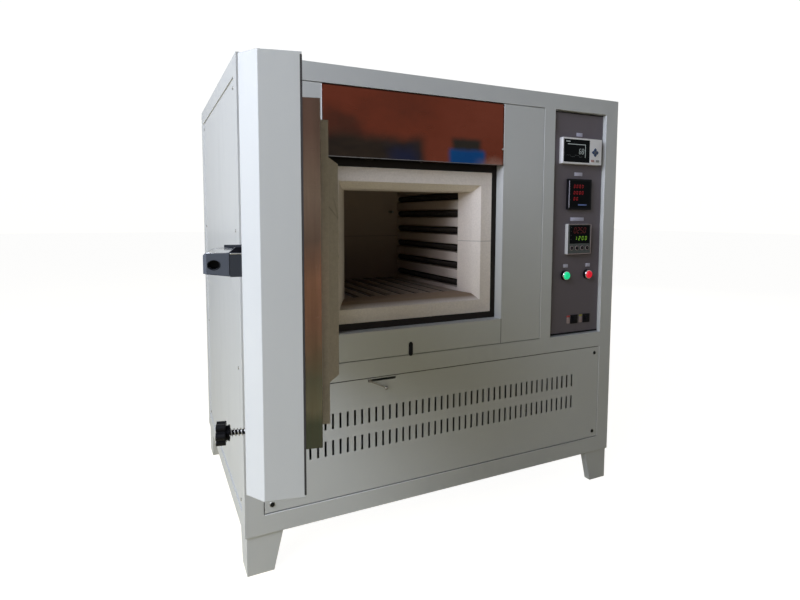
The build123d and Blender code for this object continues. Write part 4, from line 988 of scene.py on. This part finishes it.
# Rim and floor of the oval pocket in the grip's end
POCKET_INSET, POCKET_HALF_DEPTH, POCKET_HALF_HEIGHT = 12.0 * MM, 6.6 * MM, 5.1 * MM
pocket = Piece("grip_pocket_rim", "black_plastic", "handle_grey", "grip")
oval = Matrix.Diagonal((1, POCKET_HALF_HEIGHT / POCKET_HALF_DEPTH, 1, 1))
pocket_place = on_door(90, grip_high.x, grip_low.y + POCKET_INSET, middle(grip_low, grip_high)[1]) @ oval
pocket_rim = [(POCKET_HALF_DEPTH, -0.2 * MM), (POCKET_HALF_DEPTH + 0.9 * MM, -0.2 * MM),
              (POCKET_HALF_DEPTH + 0.8 * MM, 0.35 * MM), (POCKET_HALF_DEPTH + 0.2 * MM, 0.35 * MM)]
pocket.add(turned_ring(pocket_rim, 48), pocket_place)
floor_radius = POCKET_HALF_DEPTH - 0.05 * MM
pocket_floor = [(0, -9.6 * MM), (floor_radius, -9.6 * MM), (floor_radius, -9.2 * MM), (0, -9.0 * MM)]
pocket.add(lathe(pocket_floor, 48), pocket_place)
pocket.done()

# Spring, ribbed skirt and cap of the clamp knob
SPRING_TURNS, SPRING_SIDES, SPRING_WIRE = 5, 24, 0.6 * MM
knob_low, knob_high = closed_box("star_knob")
spring_low, spring_high = closed_box("knob_spring")
knob_x, knob_z = middle(knob_low, knob_high)
door_face = spring_high.y
spring_radius = (spring_high.x - spring_low.x) / 2 - SPRING_WIRE
free_length = spring_high.y - spring_low.y
spring_points = helix(knob_x, knob_z, door_face - SPRING_WIRE, door_face - free_length + SPRING_WIRE,
                      spring_radius, SPRING_TURNS * SPRING_SIDES, SPRING_SIDES)
coil = single("knob_spring_coil", "spring_steel", "spring_steel", pipe(spring_points, SPRING_WIRE, 10), SWING,
              "door", replaces=("knob_spring",), soft_angle=80)
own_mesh(coil)

skirt_profile = [(8.0, 0.0), (8.8, 0.0)]
for ridge in range(3):
    level, radius = 0.4 + ridge * 1.4, 9.0 + ridge * 0.4
    skirt_profile += [(radius, level), (radius - 0.7, level + 0.4), (radius - 0.6, level + 0.8),
                      (radius + 0.2, level + 1.1)]
skirt_profile.append((8.0, 4.6))
single("knob_skirt", "black_plastic", "black_plastic", turned_ring(in_mm(skirt_profile), 48),
       on_door(180, knob_x, spring_low.y - 2 * MM, knob_z), "washer")
cap_profile = in_mm([(0, -0.2), (8.5, -0.2), (8.2, -0.05), (7.2, 0.0), (0, 0.0)])
single("knob_cap", "black_plastic", "black_plastic", lathe(cap_profile),
       on_door(0, knob_x, knob_low.y, knob_z), "knob")

# Hinge bolts
bracket_low, bracket_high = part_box("hinge_brackets")
hinge_bolts = Piece("hinge_bolts", "steel", "steel")
for top in (bracket_low.z + 80 * MM, bracket_high.z - 32 * MM):
    for drop in (18 * MM, 62 * MM):
        place = facing(0, bracket_low.x + 12 * MM, bracket_high.y - 4 * MM, top - drop)
        hinge_bolts.add(hex_bolt(9 * MM, 4 * MM), place)
hinge_bolts.done()


# Stage, light and camera


BACKGROUND_SHARE, BACKGROUND_GLOW = 0.6, 1.6


def stage_material():
    """Floor that the camera sees as white apart from the object's soft shadow."""
    s = Surface("pale_floor", 0.9, specular=0.1)
    s.colour(s.mixed(s.noise(0.6, 3.0), (0.74, 0.65, 0.4), (0.78, 0.69, 0.44)))
    glow = s.node("ShaderNodeEmission", Strength=BACKGROUND_GLOW)
    seen = s.node("ShaderNodeLightPath").outputs["Is Camera Ray"]
    mix = s.node("ShaderNodeMixShader", Fac=s.times(seen, BACKGROUND_SHARE))
    s.links.new(s.shader.outputs["BSDF"], mix.inputs[1])
    s.links.new(glow.outputs["Emission"], mix.inputs[2])
    s.links.new(mix.outputs["Shader"], s.nodes["Material Output"].inputs["Surface"])
    return s.material


bpy.ops.mesh.primitive_plane_add(size=60, location=(0, 0, 0))
floor = bpy.context.object
floor.name = "floor"
floor.data.materials.append(stage_material())

# Dim surroundings, cooler above than below; mirrors see them brighter and the camera sees them white
WORLD_LEVEL, MIRROR_LEVEL, CAMERA_LEVEL = 0.03, 0.6, 1.06
world = bpy.data.worlds.new("studio")
bpy.context.scene.world = world
world.use_nodes = True
sky = Wiring(world.node_tree)
background = sky.nodes["Background"]
way = sky.node("ShaderNodeTexCoord").outputs["Generated"]
split = sky.node("ShaderNodeSeparateXYZ", Vector=way)
height = sky.spread(split.outputs["Z"], From_Min=-0.4, From_Max=0.6)
sky.feed(background.inputs["Color"], sky.mixed(height, (1.0, 0.98, 0.9), (0.95, 0.975, 1.0)))
rays = sky.node("ShaderNodeLightPath").outputs
seen = sky.worked("ShaderNodeMath", "MAXIMUM", rays["Is Camera Ray"], rays["Is Transmission Ray"])
mirrored = sky.spread(rays["Is Glossy Ray"], To_Min=WORLD_LEVEL, To_Max=MIRROR_LEVEL)
sky.feed(background.inputs["Strength"], sky.spread(seen, To_Min=mirrored, To_Max=CAMERA_LEVEL))


def soft_lamp(name, place, target, size, power, colour):
    data = bpy.data.lights.new(name, "AREA")
    data.shape = "RECTANGLE"
    data.size, data.size_y = size
    data.energy = power
    data.color = colour
    lamp = bpy.data.objects.new(name, data)
    bpy.context.scene.collection.objects.link(lamp)
    lamp.visible_camera = False
    lamp.location = place
    lamp.rotation_euler = (Vector(target) - Vector(place)).to_track_quat("-Z", "Y").to_euler()


KEY_POWER, FILL_POWER = 215, 45
centre = (cad_low + cad_high) / 2
soft_lamp("window_light", (-3.6, -1.7, 2.5), (-0.4, -0.4, 0.8), (3.2, 2.8), KEY_POWER, (0.87, 0.94, 1.1))
soft_lamp("rear_fill", (3.4, 3.2, 2.6), centre, (2.6, 2.2), FILL_POWER, (1.0, 0.99, 0.97))

# The camera stands where the photograph was taken: it looks 25 degrees to the right and a little down
CAMERA_PLACE = (-0.795, -1.6541, 0.8834)
CAMERA_YAW, CAMERA_PITCH, CAMERA_ROLL = math.radians(25.30), math.radians(4.35), math.radians(0.13)
FOCAL_PIXELS, CENTRE_X, CENTRE_Y = 524.1, 394.0, 256.3
IMAGE_WIDTH, IMAGE_HEIGHT = 800, 600
lens = bpy.data.cameras.new("photo_camera")
lens.sensor_width = 36.0
lens.sensor_fit = "HORIZONTAL"
lens.lens = FOCAL_PIXELS / IMAGE_WIDTH * lens.sensor_width
lens.shift_x = (IMAGE_WIDTH / 2 - CENTRE_X) / IMAGE_WIDTH
lens.shift_y = (CENTRE_Y - IMAGE_HEIGHT / 2) / IMAGE_WIDTH
lens.clip_start = 0.05
lens.clip_end = 100.0
camera = bpy.data.objects.new("photo_camera", lens)
bpy.context.scene.collection.objects.link(camera)
camera.matrix_world = (Matrix.Translation(CAMERA_PLACE) @ Matrix.Rotation(-CAMERA_YAW, 4, "Z")
                       @ Matrix.Rotation(math.pi / 2 - CAMERA_PITCH, 4, "X")
                       @ Matrix.Rotation(CAMERA_ROLL, 4, "Z"))
bpy.context.scene.camera = camera
bpy.context.scene.view_settings.view_transform = "Standard"
